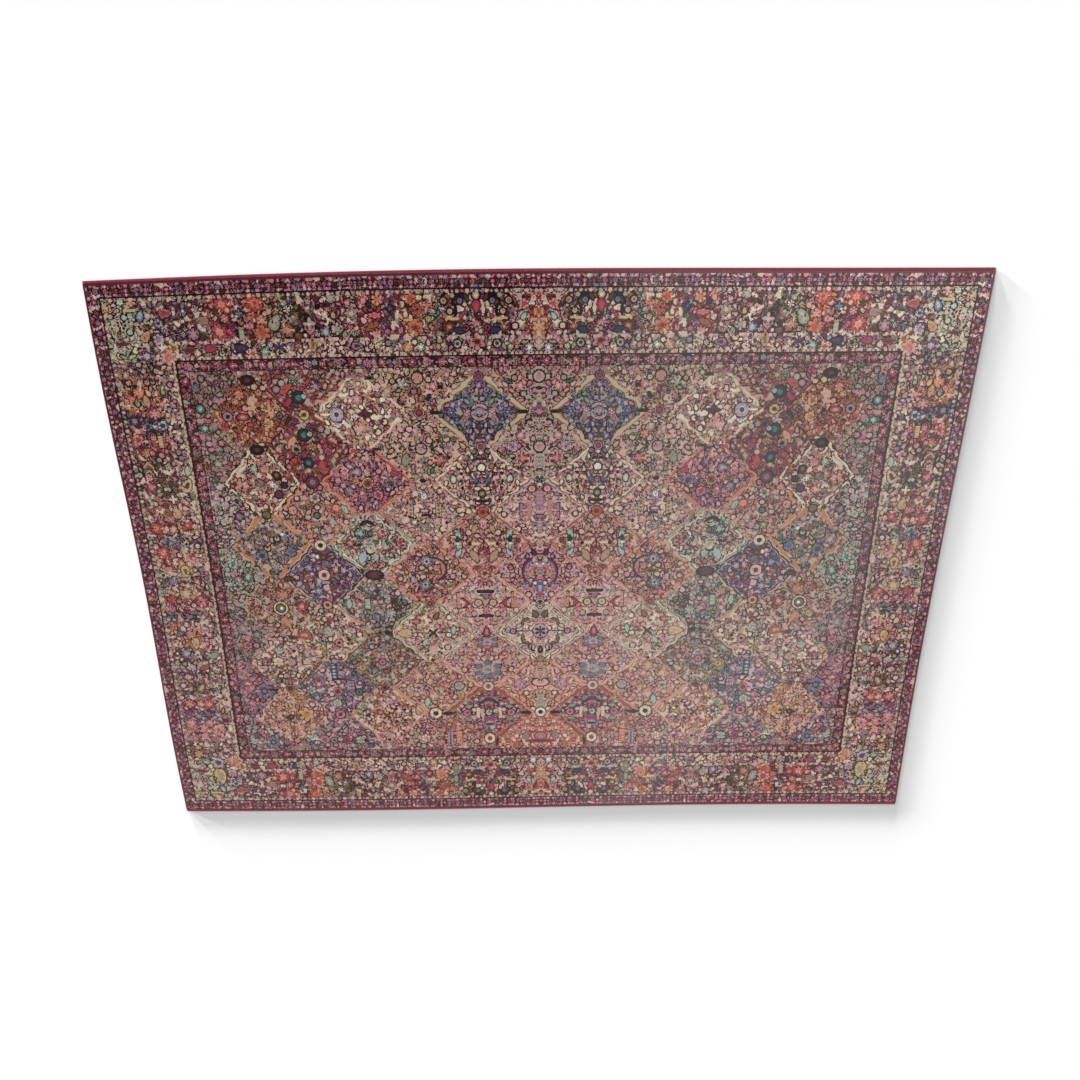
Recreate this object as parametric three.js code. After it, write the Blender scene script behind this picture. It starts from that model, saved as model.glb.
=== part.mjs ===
// Machine-woven wool rug lying flat: the woven cloth with its pile, and the yarn serging along both long sides.
// Millimetres. X runs along the rug, Y across it and Z up. The origin is on the floor under the rug's middle.
import * as THREE from "three";

// Plan size of the whole rug, serging included
const LENGTH = 3660;
const WIDTH = 2640;

// The cloth: a woven foundation under a cut pile
const FOUNDATION = 2.5;
const PILE = 6.5;
const THICKNESS = FOUNDATION + PILE;

// The serging: yarn overcast round the selvedge, as a rounded bar that rests on its flat underside
const SERGING = { width: 10, height: 8.6, topRadius: 4, footRadius: 1.5 };
const GAP = 0.3; // between the selvedge and the serging

// A woven rug is never quite square. Each corner's shift from the plain rectangle:
const CORNER_SHIFT = {
  farLeft: { x: -11, y: 2 },
  farRight: { x: -14, y: 2 },
  nearLeft: { x: -2, y: -9 },
  nearRight: { x: 5, y: 8 },
};

// How each side leaves the straight line between its corners, outwards being positive:
// bow is one half wave over the side, sway a full wave and ripple three half waves.
const SIDES = {
  far: { bow: -4, sway: 8, ripple: 0 },
  near: { bow: 23, sway: 4, ripple: 0 },
  left: { bow: -3, sway: 0, ripple: 5 },
  right: { bow: -13, sway: -3, ripple: 0 },
};

// Steps along the sides
const LONG_STEPS = 60;
const SHORT_STEPS = 44;
const SERGING_STEPS = 54;
const QUARTER_ROUND_STEPS = 2; // in the serging's section

// The cloth's edge from the floor up: height, and how far the outline is drawn in there.
// The foundation is upright and the pile rounds over in a soft shoulder.
const EDGE_PROFILE = [
  { height: 0, drawnIn: 0.8 },
  { height: 0.7, drawnIn: 0 },
  { height: FOUNDATION + 0.6 * PILE, drawnIn: 0 },
  { height: THICKNESS - 1, drawnIn: 0.7 },
  { height: THICKNESS - 0.3, drawnIn: 1.8 },
  { height: THICKNESS, drawnIn: 3.6 },
];

// The serging's ends taper where the yarn is fastened off: distance from the end, and size there.
const SERGING_END = [
  { along: 0, size: 0.62 },
  { along: 2, size: 0.84 },
  { along: 6, size: 1 },
];

const { lerp } = THREE.MathUtils;

function corner(signX, signY, shift) {
  return new THREE.Vector2((signX * LENGTH) / 2 + shift.x, (signY * WIDTH) / 2 + shift.y);
}

const CORNERS = {
  farLeft: corner(-1, -1, CORNER_SHIFT.farLeft),
  farRight: corner(1, -1, CORNER_SHIFT.farRight),
  nearLeft: corner(-1, 1, CORNER_SHIFT.nearLeft),
  nearRight: corner(1, 1, CORNER_SHIFT.nearRight),
};

// A point on one side, t running from 0 to 1 between its corners.
function sidePoint(from, to, outward, wave, t) {
  const swell =
    wave.bow * Math.sin(Math.PI * t) +
    wave.sway * Math.sin(2 * Math.PI * t) +
    wave.ripple * Math.sin(3 * Math.PI * t);
  return from.clone().lerp(to, t).addScaledVector(outward, swell);
}

const OUTWARD = {
  far: new THREE.Vector2(0, -1),
  near: new THREE.Vector2(0, 1),
  left: new THREE.Vector2(-1, 0),
  right: new THREE.Vector2(1, 0),
};

const farSide = (u) => sidePoint(CORNERS.farLeft, CORNERS.farRight, OUTWARD.far, SIDES.far, u);
const nearSide = (u) => sidePoint(CORNERS.nearLeft, CORNERS.nearRight, OUTWARD.near, SIDES.near, u);
const leftSide = (v) => sidePoint(CORNERS.farLeft, CORNERS.nearLeft, OUTWARD.left, SIDES.left, v);
const rightSide = (v) => sidePoint(CORNERS.farRight, CORNERS.nearRight, OUTWARD.right, SIDES.right, v);

// The plan of the rug as a patch between its four sides: u from left to right, v from far to near.
function planPoint(u, v) {
  const acrossLong = farSide(u).lerp(nearSide(u), v);
  const acrossShort = leftSide(v).lerp(rightSide(v), u);
  const farChord = CORNERS.farLeft.clone().lerp(CORNERS.farRight, u);
  const nearChord = CORNERS.nearLeft.clone().lerp(CORNERS.nearRight, u);
  return acrossLong.add(acrossShort).sub(farChord.lerp(nearChord, v));
}

// A closed solid through rings of equal length. Each ring runs counterclockwise about the direction
// in which they follow each other, and toPlane turns a point of an end ring into that ring's plane.
function loft(rings, toPlane) {
  const count = rings[0].length;
  const positions = rings.flat().flatMap((p) => [p.x, p.y, p.z]);
  const index = [];
  for (let r = 0; r + 1 < rings.length; r++)
    for (let i = 0; i < count; i++) {
      const a = r * count + i;
      const b = r * count + ((i + 1) % count);
      index.push(a, b, b + count, a, b + count, a + count);
    }
  const lastRing = (rings.length - 1) * count;
  for (const [p, q, r] of THREE.ShapeUtils.triangulateShape(rings[0].map(toPlane), []))
    index.push(r, q, p);
  for (const [p, q, r] of THREE.ShapeUtils.triangulateShape(rings.at(-1).map(toPlane), []))
    index.push(lastRing + p, lastRing + q, lastRing + r);
  const geometry = new THREE.BufferGeometry();
  geometry.setAttribute("position", new THREE.Float32BufferAttribute(positions, 3));
  geometry.setIndex(index);
  geometry.computeVertexNormals();
  return geometry;
}

// The woven cloth: its outline at each height of the edge profile, inside the serging.
function clothRing({ height, drawnIn }) {
  const uEdge = drawnIn / LENGTH;
  const vEdge = (SERGING.width + GAP + drawnIn) / WIDTH;
  const at = (u, v) => {
    const p = planPoint(lerp(uEdge, 1 - uEdge, u), lerp(vEdge, 1 - vEdge, v));
    return new THREE.Vector3(p.x, p.y, height);
  };
  const ring = [];
  for (let i = 0; i < LONG_STEPS; i++) ring.push(at(i / LONG_STEPS, 0));
  for (let i = 0; i < SHORT_STEPS; i++) ring.push(at(1, i / SHORT_STEPS));
  for (let i = LONG_STEPS; i > 0; i--) ring.push(at(i / LONG_STEPS, 1));
  for (let i = SHORT_STEPS; i > 0; i--) ring.push(at(0, i / SHORT_STEPS));
  return ring;
}

// The serging's section, standing on its flat foot.
function sergingSection() {
  const { width, height, topRadius, footRadius } = SERGING;
  const top = width / 2 - topRadius;
  const foot = width / 2 - footRadius;
  const quarter = Math.PI / 2;
  const shape = new THREE.Shape();
  shape.absarc(foot, footRadius, footRadius, -quarter, 0);
  shape.absarc(top, height - topRadius, topRadius, 0, quarter);
  shape.absarc(-top, height - topRadius, topRadius, quarter, 2 * quarter);
  shape.absarc(-foot, footRadius, footRadius, 2 * quarter, 3 * quarter);
  return shape.getPoints(QUARTER_ROUND_STEPS / 2); // an arc takes two steps for each one asked
}

// Where the serging's sections stand along a side, with their size: close together at the tapered ends.
function sergingStations() {
  const ends = SERGING_END.map(({ along, size }) => ({ t: along / LENGTH, size }));
  const firstFull = ends.at(-1).t;
  const stations = [...ends];
  for (let i = 1; i < SERGING_STEPS; i++)
    stations.push({ t: lerp(firstFull, 1 - firstFull, i / SERGING_STEPS), size: 1 });
  for (const { t, size } of ends.reverse()) stations.push({ t: 1 - t, size });
  return stations;
}

function sergingGeometry(side, inward) {
  const section = sergingSection();
  const rings = sergingStations().map(({ t, size }) => {
    const edge = side(t);
    const middle = edge.y + (inward * SERGING.width) / 2;
    return section.map((p) => new THREE.Vector3(edge.x, middle + size * p.x, size * p.y));
  });
  return loft(rings, (p) => new THREE.Vector2(p.y, p.z));
}

const pile = new THREE.MeshStandardMaterial({ color: 0x876d67, roughness: 0.95, metalness: 0 });
const crimsonYarn = new THREE.MeshStandardMaterial({ color: 0x8a3a47, roughness: 0.85, metalness: 0 });

function piece(name, geometry, material) {
  const mesh = new THREE.Mesh(geometry, material);
  mesh.name = name;
  return mesh;
}

const rug = new THREE.Group();
rug.add(
  piece("rug_body", loft(EDGE_PROFILE.map(clothRing), (p) => new THREE.Vector2(p.x, p.y)), pile),
  piece("serging_far", sergingGeometry(farSide, 1), crimsonYarn),
  piece("serging_near", sergingGeometry(nearSide, -1), crimsonYarn),
);

// The origin goes under the middle of the rug's box.
const middle = new THREE.Box3().setFromObject(rug).getCenter(new THREE.Vector3());
rug.position.set(-middle.x, -middle.y, 0);

export default rug;
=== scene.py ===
import math

import bpy
import numpy as np
from mathutils import Euler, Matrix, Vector


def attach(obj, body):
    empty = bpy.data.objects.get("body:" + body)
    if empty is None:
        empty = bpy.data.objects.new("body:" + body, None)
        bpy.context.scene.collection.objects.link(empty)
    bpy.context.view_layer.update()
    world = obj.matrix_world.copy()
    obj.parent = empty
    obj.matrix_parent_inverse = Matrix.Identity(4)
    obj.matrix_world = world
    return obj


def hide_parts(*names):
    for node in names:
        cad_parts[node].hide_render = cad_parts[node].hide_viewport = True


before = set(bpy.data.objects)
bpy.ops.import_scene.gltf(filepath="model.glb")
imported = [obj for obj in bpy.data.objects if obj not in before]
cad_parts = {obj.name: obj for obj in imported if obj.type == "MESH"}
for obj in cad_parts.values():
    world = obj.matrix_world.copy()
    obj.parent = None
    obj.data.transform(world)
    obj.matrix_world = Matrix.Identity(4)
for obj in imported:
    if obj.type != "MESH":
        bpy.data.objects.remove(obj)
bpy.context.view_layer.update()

MM = 0.001

# The rug's plan in mm: far is the -Y side and near is the +Y side, and left and right are its short ends
LENGTH = 3660
WIDTH = 2640
FOUNDATION = 2.5
SERGING = {"width": 10, "height": 8.6, "top_radius": 4, "foot_radius": 1.5}
GAP = 0.3

# How far each corner lies from its place in a true rectangle
CORNER_SHIFT = {"far_left": (-11, 2), "far_right": (-14, 2), "near_left": (-2, -9), "near_right": (5, 8)}

# How far each side leaves the straight line between its corners, outwards: in one, two and three half waves
SIDES = {
    "far": {"bow": -4, "sway": 8, "ripple": 0},
    "near": {"bow": 23, "sway": 4, "ripple": 0},
    "left": {"bow": -3, "sway": 0, "ripple": 5},
    "right": {"bow": -13, "sway": -3, "ripple": 0},
}
WAVES_DIE_OUT = 6  # the higher, the less of a side's waves is left inside the rug

# The cloth's edge from its top down: height, and how far it is drawn in there
EDGE_PROFILE = ((9, 3.6), (8.7, 1.8), (8, 0.7), (6.4, 0), (FOUNDATION, 0), (0.7, 0), (0, 0.8))

# The pile's top: its unevenness, how far it is sunk as a share of that, how far from its edge both have set
# in, and the waves' angles along and across the rug, with their phases
PILE_UNEVEN = 0.35
PILE_SUNK = 0.6
PILE_FADE = 40
PILE_WAVES = ((23, 11, 0), (9, -31, 2), (41, 17, 4), (-15, 47, 1))

# Along each serging: how far from its end, and its section's size there
SERGING_END = ((0, 0.62), (2, 0.84), (6, 1))
# Its turns of yarn: their step, the mesh's sections in one, how far one slants in its round, as a share of
# the step, and the grooves' depth
WRAP_PITCH = 3.4
WRAP_STATIONS = 4
WRAP_SLANT = 0.6
WRAP_DEPTH = 0.7

# The pile's tufts, in blocks of four by four: a face of the rug's mesh holds one block
TUFTS = (1260, 904)
BLOCK = 4
PILE_MM = (3654, 2612)
PITCH = (PILE_MM[0] / TUFTS[0], PILE_MM[1] / TUFTS[1])
EDGE = (PILE_MM[0] / 2, PILE_MM[1] / 2)
EVERYWHERE = np.s_[:, :]

YARNS = {
    "ink": "1C0C0C", "umber": "4C3026", "maroon": "5C222F", "crimson": "94344A",
    "red": "A8433E", "rust": "8E4E3E", "orange": "B4704C", "salmon": "C48A78",
    "rose": "B67680", "blush": "C9A29A", "magenta": "7E4060", "plum": "5C3046",
    "mauve": "8A7080", "lilac": "A699A6", "navy": "2E2E4C", "blue": "4C5880",
    "slate": "666C7A", "sky": "9CA8AE", "pine": "1A2C2B", "teal": "486E62",
    "mint": "9AAE9C", "sage": "8A8A74", "stone": "A6968A", "olive": "6A603E",
    "forest": "2C3322", "leaf": "647850", "gold": "B89F6E", "tan": "AC866C",
    "sand": "BEA284", "cream": "CFBFA2", "ivory": "DDD2BF", "taupe": "876A60",
}
NUMBER = {name: number for number, name in enumerate(YARNS)}

# How deep the borders go from the pile's edge along the sides, and how much wider they are along the ends
MAIN_BORDER = 314
INNER_GUARD = 360
STRUNG_PAST = 9  # how far beads may reach past the inner guard
END_DEEPER = 1.03

# The border's stretches meet in an uneven line, and the last one reaches past the rug's middle
STRETCH_UNEVEN = 16
PAST_MIDDLE = 60
SIDE_SHARES = (0.25, 0.75)  # the second yarn's share of a stretch's ground, on the near and the far side
BAND_SHARE = 0.45

# The field's panels stand in columns, A on the rug's middle, here with their x at the near and the far
# border. Row 0 is next to the near border, and a panel reaches one row to each side, so that the columns
# stand by turns on the even and the odd rows.
COLUMNS = {"A": (0, 0), "B": (-254, -252), "C": (-510, -514), "D": (-764, -752), "E": (-1000, -980),
           "F": (-1220, -1210), "G": (-1434, -1434)}
MIDDLE_ROOM = 254   # from column A's middle to the column on its right
OUTER_ROOM = 220    # from column G's middle to its tips on the left
FIRST_ROW = 906     # y of row 0's middle
LAST_ROW = 12
ROW = 149.4         # from row to row
NECK = 44           # half the width of the necks where the panels of a column meet
SOWN_REACH = 210    # how far to each side of a panel's middle blossoms are sown

# The ground that shows between the panels
FIELD_GROUND = "umber/taupe"
FIELD_SHARE = 0.6
FIELD_MIX = ("ink/maroon", "blush/stone", "rose/sage/crimson")

# A panel's slanted sides: their depth in the panel for each mm across, how strongly they curve, and how
# uneven they are, in chance steps and in small waves with their length
LEAN = 0.8
CURVE = 0.02
SIDE_STEPS = 3.5
SIDE_WAVES = 3
SIDE_WAVE_LENGTH = 46
TIP_SHARES = (0.2, 0.8)  # the far yarn's share of a panel's ground, at its near and its far tip

# The mottled grounds follow two fields of random hills, some 60 mm apart: the vines and the patches. Each
# is white noise, smoothed in so many steps. The rest is in a field's own spread: how far apart islands of
# one yarn lie and their yarn's part of that, how a share becomes a height, and where the light hearts begin
# and their outline's width. Dark hollows lie under a height in the field and in the border, and light
# specks over one
HILLS_SEED = 5
SMOOTHING = (12, 17)
ISLAND = 0.9
ISLAND_PART = 0.55
SHARE_HEIGHT = 1.6
HEART = 0.95
OUTLINE = 0.12
FIELD_DEEP = -1.6
BORDER_DEEP = -0.85
SPECKS = 1.5
FIELD_VEIL = 0.1    # how wide the dark vines are that run over everything
BORDER_VEIL = 0.14
BAND_GAPS = -0.5    # a panel's outline is broken where the vines' field is lower

# Small blossoms are sown in staggered rows: their step, the rows' distance and a blossom's straying as
# shares of it, and the spread of sizes. What is sown: form, half length as a share of the step, and the
# yarns of rim and heart
SOWING_SEED = 7
SOWN_STEP = 27
SOWN_ROWS = 0.85
SOWN_STRAY = 0.16
SOWN_SIZES = (0.8, 1.2)
SOWN = (
    ("disc", 0.46, "dark", "light"), ("disc", 0.4, "dark", "middle"), ("leaf", 0.62, "dark", "middle"),
    ("rosette", 0.5, "dark", "middle"), ("bud", 0.52, "dark", "light"), ("leaf", 0.5, "middle", "dark"),
    ("rosette", 0.5, "middle", "light"), ("twig", 0.62, "dark", "middle"), ("bud", 0.5, "dark", "middle"),
    ("disc", 0.3, "light", "light"),
)

# A motif's rim, and the ink round one whose half length is over LARGE, with cracks in a field's own spread
RIM = 3.0
LARGE = 12
SILHOUETTE = 4
CRACK = 0.07
REACH = 1.5  # how many half lengths from its middle a motif may reach

# How a motif is mirrored: not at all, left and right, near and far, or both, as the signs of x and y
FOLDS = {
    ".": ((1, 1),),
    "=": ((1, 1), (-1, 1)),
    ":": ((1, 1), (1, -1)),
    "+": ((1, 1), (-1, 1), (1, -1), (-1, -1)),
}

# Where the map for baking has the cloth's top, with a margin round it, and its back. The map's sides are 1
TOP_ON_MAP = {"margin": 1.02, "middle": (0.5, 0.37)}
BACK_ON_MAP = {"size": 0.3, "middle": (0.2, 0.87)}
INTO_TUFT = 0.4  # how far into the outermost tufts the map's edge lies that the pile's side shows

# The finishes: how the shader's own sockets are set, and the colours and the depth of the relief
WOOL = {"Roughness": 0.95, "Sheen_Weight": 0.04, "Sheen_Roughness": 0.5, "Specular_IOR_Level": 0.06}
JUTE = {"Roughness": 0.9, "Sheen_Weight": 0.05, "Specular_IOR_Level": 0.2}
SERGING_YARN = {"Roughness": 0.85, "Sheen_Weight": 0.2, "Sheen_Roughness": 0.5, "Specular_IOR_Level": 0.2}
# The colour that worn wool fades to, and also the colour of the pile's painted haze towards the far side
FADED_WOOL_AND_HAZE = "DDB8B3"
# The colour of the painted haze over the right half
PAINTED_HAZE_COLOUR = "BCC4C1"
TUFT_RELIEF = 1.2 * MM
DARK_JUTE = "7C6650"
LIGHT_JUTE = "B49C7C"
JUTE_PITCH = 2.9 * MM
JUTE_RELIEF = 0.8 * MM
DARK_CRIMSON = "8E2C40"
LIGHT_CRIMSON = "A8405A"
PLY_RELIEF = 0.7 * MM

# How dark and how light each thing makes the yarn, and the scale and the detail of the noises. dome is
# painted shade, darker towards the grooves between the tufts or the turns; the pile's far is painted light,
# darker on the near side and lighter towards the far side
PILE_TONE_AND_PAINTED_SHADE = {
    "own": (0.86, 1.02),
    "dome": (0.8, 1.06),
    "dye_lot": (0.9, 1.1),
    "fibre": (0.88, 1.12),
    "far": (0.92, 1.06),
}
SERGING_TONE_AND_PAINTED_SHADE = {"own": (0.74, 1.04), "dome": (0.72, 1.08), "fluff": (0.88, 1.12)}
DYE_LOT_BANDS = (0.6, 5.0, 1.0)
DYE_LOTS = (1.6, 2.0)
WEAR = (2.2, 3.0)
FIBRES = (1400.0, 1.0)
JUTE_GRAIN = (420.0, 3.0)
SERGING_WEAR = (6.0, 3.0)
FLUFF = (3.0, 3.0)

# A pale painted haze lies over the pile and grows towards the far side, and worn places fade towards the
# same colour. Its right half is paler and brighter than the left, which is painted light as well: from where
# to where, in metres of x, y or both, this sets in, and how strong it is
PAINTED_HAZE_AND_WEAR = {"far": 0.07, "worn": 0.05}
RIGHT_HALF = (-0.15, 0.65)
FAR_CORNER = (1.4, 2.2)
NEAR_CORNER = (1.7, 2.5)
NEAR_SIDE = (0.9, 1.2)
FAR_PART = (0.1, 0.6)
# How strong the right half's painted haze is, and how much its painted light brightens each part
PAINTED_HAZE = 0.1
PAINTED_LIGHT = {"right": 0.05, "near_side": 0.3, "near_corner": 0.25, "far_part": 0.07}

# The studio and the camera, in metres but for the camera's place, which is in mm in the rug's plan
FLOOR = {"size": 60, "below": 0.0005, "colour": (0.54, 0.54, 0.54, 1)}
TENT = 0.9
KEY_LAMP = {"energy": 1.1, "degrees": 20, "towards": (0.5, -0.7, -0.5)}
FLOOR_LAMPS = {"turns": (32, 58, 80), "energy": 19, "degrees": 4.6, "drop": 0.045}
CAMERA = {"sensor_width": 36, "lens": 28.299, "clip_end": 100}
CAMERA_PLACE = (-2.43, 1598.56, 3559.99)
CAMERA_ANGLES = (-21.8654, -0.19116, -0.53934)


class Chart:
    """A yarn's number for each tuft of the rug's left half, in rows from the near side.

    Places are in mm from the rug's middle, with x to the right and y to the near side. Only open tufts take
    a yarn."""

    def __init__(self):
        self.x = (np.arange(TUFTS[0] // 2) + 0.5) * PITCH[0] - EDGE[0]
        self.y = EDGE[1] - (np.arange(TUFTS[1]) + 0.5) * PITCH[1]
        self.cells = np.zeros((len(self.y), len(self.x)), np.uint8)
        self.side_depth = EDGE[1] - np.abs(self.y[:, None])
        self.depth = np.minimum((EDGE[0] + self.x[None]) / END_DEEPER, self.side_depth)
        self.open = np.ones(self.cells.shape, bool)
        self.sowing = np.random.default_rng(SOWING_SEED)
        rng = np.random.default_rng(HILLS_SEED)
        self.vines, self.patches = (self.hills(rng, steps) for steps in SMOOTHING)

    def hills(self, rng, steps):
        """Random hills and hollows: white noise smoothed in steps, in units of its spread."""
        field = rng.normal(size=self.cells.shape)
        for _ in range(steps):
            field += sum(np.roll(field, step, axis) for step in (-1, 1) for axis in (0, 1))
        return field / field.std()

    def lay(self, where, mask, yarn):
        """One yarn in the open tufts of a mask."""
        self.cells[where][mask & self.open[where]] = NUMBER[yarn]

    def motif(self, form, x, y, size, yarns, turn=90.0, wide=1.0):
        """A form of half length `size` whose head points to `turn`, in yarns from its rim to its heart. A
        large one lies on an ink silhouette, which shows round it and in its cracks."""
        reach = REACH * size * max(1, wide)
        c0, c1 = np.searchsorted(self.x, (x - reach, x + reach))
        r0, r1 = np.searchsorted(-self.y, (-y - reach, -y + reach))
        if c0 == c1 or r0 == r1:
            return
        where = np.s_[r0:r1, c0:c1]
        dx, dy = self.x[None, c0:c1] - x, self.y[r0:r1, None] - y
        c, s = np.cos(np.radians(turn)), np.sin(np.radians(turn))
        along, across = (dx * c + dy * s) / size, (dy * c - dx * s) / (size * wide)
        masks, rim, large = FORMS[form], RIM / size, size > LARGE
        if large:
            grown = size / (size + SILHOUETTE)
            self.lay(where, masks(along * grown, across * grown, rim)[0], "ink")
        cracks = np.abs(self.patches[where]) < CRACK * large
        for mask, yarn in zip(masks(along, across, rim), yarns.split("/")):
            self.lay(where, mask & ~cracks, yarn)

    def motifs(self, x0, y0, rows):
        """Motifs round a place, from rows that begin with the fold."""
        for fold, form, x, y, size, yarns, *rest in rows:
            turn, wide = (float(value) for value in (rest + ["90", "1"][len(rest):]))
            self.folded(form, x0, y0, float(x), float(y), float(size), yarns, turn, wide, fold)

    def folded(self, form, x0, y0, x, y, size, yarns, turn, wide, fold):
        """A motif and its mirror images. One on the mirror line has no image of its own."""
        for sx, sy in FOLDS[fold]:
            if (sx < 0 and abs(x) < 1) or (sy < 0 and abs(y) < 1):
                continue
            angle = turn if sx > 0 else 180 - turn
            self.motif(form, x0 + sx * x, y0 + sy * y, size, yarns, angle if sy > 0 else -angle, wide)

    def fill(self, about, box, ground, share, mix, deep, fold):
        """A mottled ground in the open tufts: its first yarn, its second one in a share of the patches,
        islands of the middle yarns, outlined light hearts, dark hollows, and small blossoms sown on top. mix
        holds the dark, the light and the middle yarns."""
        first, second = ground.split("/")
        dark, light, middle = (group.split("/") for group in mix)
        rows, columns = np.flatnonzero(self.open.any(1)), np.flatnonzero(self.open.any(0))
        where = np.s_[rows[0]:rows[-1] + 1, columns[0]:columns[-1] + 1]
        rows, columns = np.arange(rows[0], rows[-1] + 1), np.arange(columns[0], columns[-1] + 1)
        if fold == "=":
            columns = (np.abs(self.x[columns] - about[0]) / PITCH[0]).astype(int)
        if fold == ":":
            rows = (self.side_depth[rows, 0] / PITCH[1]).astype(int)
        vines, patches = self.vines[np.ix_(rows, columns)], self.patches[np.ix_(rows, columns)]
        share = np.broadcast_to(share, self.open.shape)[where]
        self.lay(where, self.open[where], first)
        self.lay(where, patches < SHARE_HEIGHT * (share - 0.5), second)
        island = patches % ISLAND / ISLAND * len(middle)
        for number, yarn in enumerate(middle):
            self.lay(where, (island >= number) & (island < number + ISLAND_PART), yarn)
        self.lay(where, np.abs(vines - HEART) < OUTLINE, dark[0])
        for mask, yarns in ((vines > HEART, light), (vines < deep, dark)):
            for number, yarn in enumerate(yarns):
                self.lay(where, mask & (patches % 1 >= number / len(yarns)), yarn)
        self.sow(about, box, {"dark": dark, "light": light, "middle": middle}, fold)

    def sow(self, about, box, mix, fold):
        """Small blossoms, leaves and dots, mirrored as the motifs are. box is from x to x and from y to y,
        with places from `about`."""
        rng = self.sowing
        for row, y in enumerate(np.arange(box[2], box[3], SOWN_ROWS * SOWN_STEP)):
            for x in np.arange(box[0], box[1], SOWN_STEP) + (row % 2) * SOWN_STEP / 2:
                px, py = x + rng.normal(0, SOWN_STRAY * SOWN_STEP), y + rng.normal(0, SOWN_STRAY * SOWN_STEP)
                form, share, rims, hearts = SOWN[rng.integers(len(SOWN))]
                rim, heart = (mix[group][rng.integers(len(mix[group]))] for group in (rims, hearts))
                size = SOWN_STEP * share * rng.uniform(*SOWN_SIZES)
                self.folded(form, *about, px, py, size, f"{rim}/{heart}", rng.uniform(0, 360), 1, fold)

    def veil(self, dark, light, wide):
        """Thin dark vines and light specks over all the open tufts."""
        for yarns, mask in ((dark, np.abs(self.patches) < wide), (light, self.vines > SPECKS)):
            yarns = yarns.split("/")
            for number, yarn in enumerate(yarns):
                self.lay(EVERYWHERE, mask & (self.vines % 1 >= number / len(yarns)), yarn)


# The forms. Each gives its masks from its rim to its heart, from places along and across it in half lengths
# and from the rim's width in half lengths
def lobed(along, across, lobes, deep):
    """The distance from the middle, in shares of an outline's that has lobes."""
    return np.hypot(along, across) / (1 - deep + deep * np.cos(lobes * np.arctan2(across, along)))


def disc(along, across, rim):
    r = np.hypot(along, across)
    return r < 1, r < 1 - 0.9 * rim, r < 0.45


def rosette(along, across, rim):
    r = lobed(along, across, 6, 0.15)
    petals = np.cos(6 * np.arctan2(across, along)) > 4 * rim - 1
    return (r < 1) & (petals | (rim > 0.2)), (r < 1 - 0.9 * rim) & petals, r < 0.5, r < 0.24


def star(along, across, rim):
    r = lobed(along, across, 4, 0.34)
    return r < 1, r < 1 - 1.5 * rim, r < 0.35


def bud(along, across, rim):
    wide = 0.62 * np.sqrt(np.clip(1 - along**2, 0, 1)) * (1 - 0.4 * along)
    across = np.abs(across)
    return across < wide, across < wide - rim, (across < 0.4 * wide) & (np.abs(along) < 0.5)


def leaf(along, across, rim):
    wide = 0.5 * np.clip(1 - along**2, 0, 1)
    return np.abs(across) < wide, np.abs(across) < wide - rim


def bar(along, across, rim):
    r = (along**6 + across**6) ** (1 / 6)
    return r < 1, r < 1 - 1.2 * rim, r < 0.45


def braid(along, across, rim):
    beads = np.mod(along, 6 * rim) < 4 * rim
    inside = (np.abs(along) < 1) & (np.abs(across) < 1)
    return inside, inside & beads & (np.abs(across) < 0.8), inside & beads & (np.abs(across) < 0.35)


def chevron(along, across, rim):
    r = along + np.abs(across) - 0.3
    return (np.abs(r) < 0.36) & (np.abs(across) < 1), (np.abs(r) < 0.36 - rim) & (np.abs(across) < 0.8)


def arc(along, across, rim):
    r, half = np.hypot(along, across), min(0.14, 1.5 * rim)
    head = along > 0.15
    return (np.abs(r - 0.86) < half) & head, (np.abs(r - 0.86 + 1.8 * half) < 0.7 * half) & head


def twig(along, across, rim):
    bent = across - 0.25 * np.sin(2.6 * along)
    leaves = (np.abs(np.abs(bent) - 0.28) < 0.24 * np.sin(7 * along)) & (np.abs(along) < 0.95)
    return leaves, (np.abs(bent) < 0.1) & (np.abs(along) < 1)


def tree(along, across, rim):
    shoots = np.abs(np.mod(3 * along - 2 * np.abs(across), 1) - 0.5) < 0.22
    inside = np.abs(along) < 1
    return shoots & inside & (np.abs(across) < 0.6 * (1 - along)), inside & (np.abs(across) < 0.08)


FORMS = {
    form.__name__: form
    for form in (disc, rosette, star, bud, leaf, bar, braid, chevron, arc, twig, tree)
}


def rows_of(table):
    """A table's rows as lists of words, without the first one, which names the columns."""
    return [line.split() for line in table.strip().splitlines()[1:]]


# The border's stretches: along the near and far sides by x, along the end by y. The ground has two yarns,
# and then come the dark, light and middle yarns of the small blossoms on it
SIDE_STRETCHES = """
from to ground dark light middle
-1827 -1600 sage/stone olive/ink/umber cream/mint/sand sage/stone/mint/blush
-1600 -1360 umber/taupe ink/umber/maroon blush/stone rust/plum/umber/slate
-1360 -1230 crimson/rust maroon/forest/ink salmon/blush/gold crimson/red/rose/plum
-1230 -1195 pine/crimson ink/pine slate/plum pine/ink/plum/ink
-1195 -1100 red/rose maroon/umber/ink salmon/blush red/orange/salmon/rust
-1100 -1040 olive/sage ink/forest stone/taupe sage/rose/tan
-1040 -930 umber/taupe ink/forest/umber stone/taupe ink/rust/umber/slate
-930 -790 ink/umber ink/maroon blush/taupe ink/rose/umber/maroon
-790 -735 stone/sage ink/umber/maroon blush/stone tan/sage/rose
-735 -630 crimson/rose maroon/ink/forest salmon/blush red/crimson/crimson/rust
-630 -566 plum/plum ink/navy/forest mauve/sage magenta/plum/umber/crimson
-566 -450 rust/salmon umber/maroon/ink salmon/sand orange/red/rust/olive
-450 -400 sage/stone ink/forest/plum stone/blush sage/rose/teal
-400 -110 umber/taupe ink/umber/maroon blush/stone/sand rust/mauve/teal/crimson
-110 -46 stone/taupe maroon/umber/ink blush/stone blush/rose/sand/blush
-46 0 rust/red rust/maroon/umber orange/salmon orange/red/red/rust
"""
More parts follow.
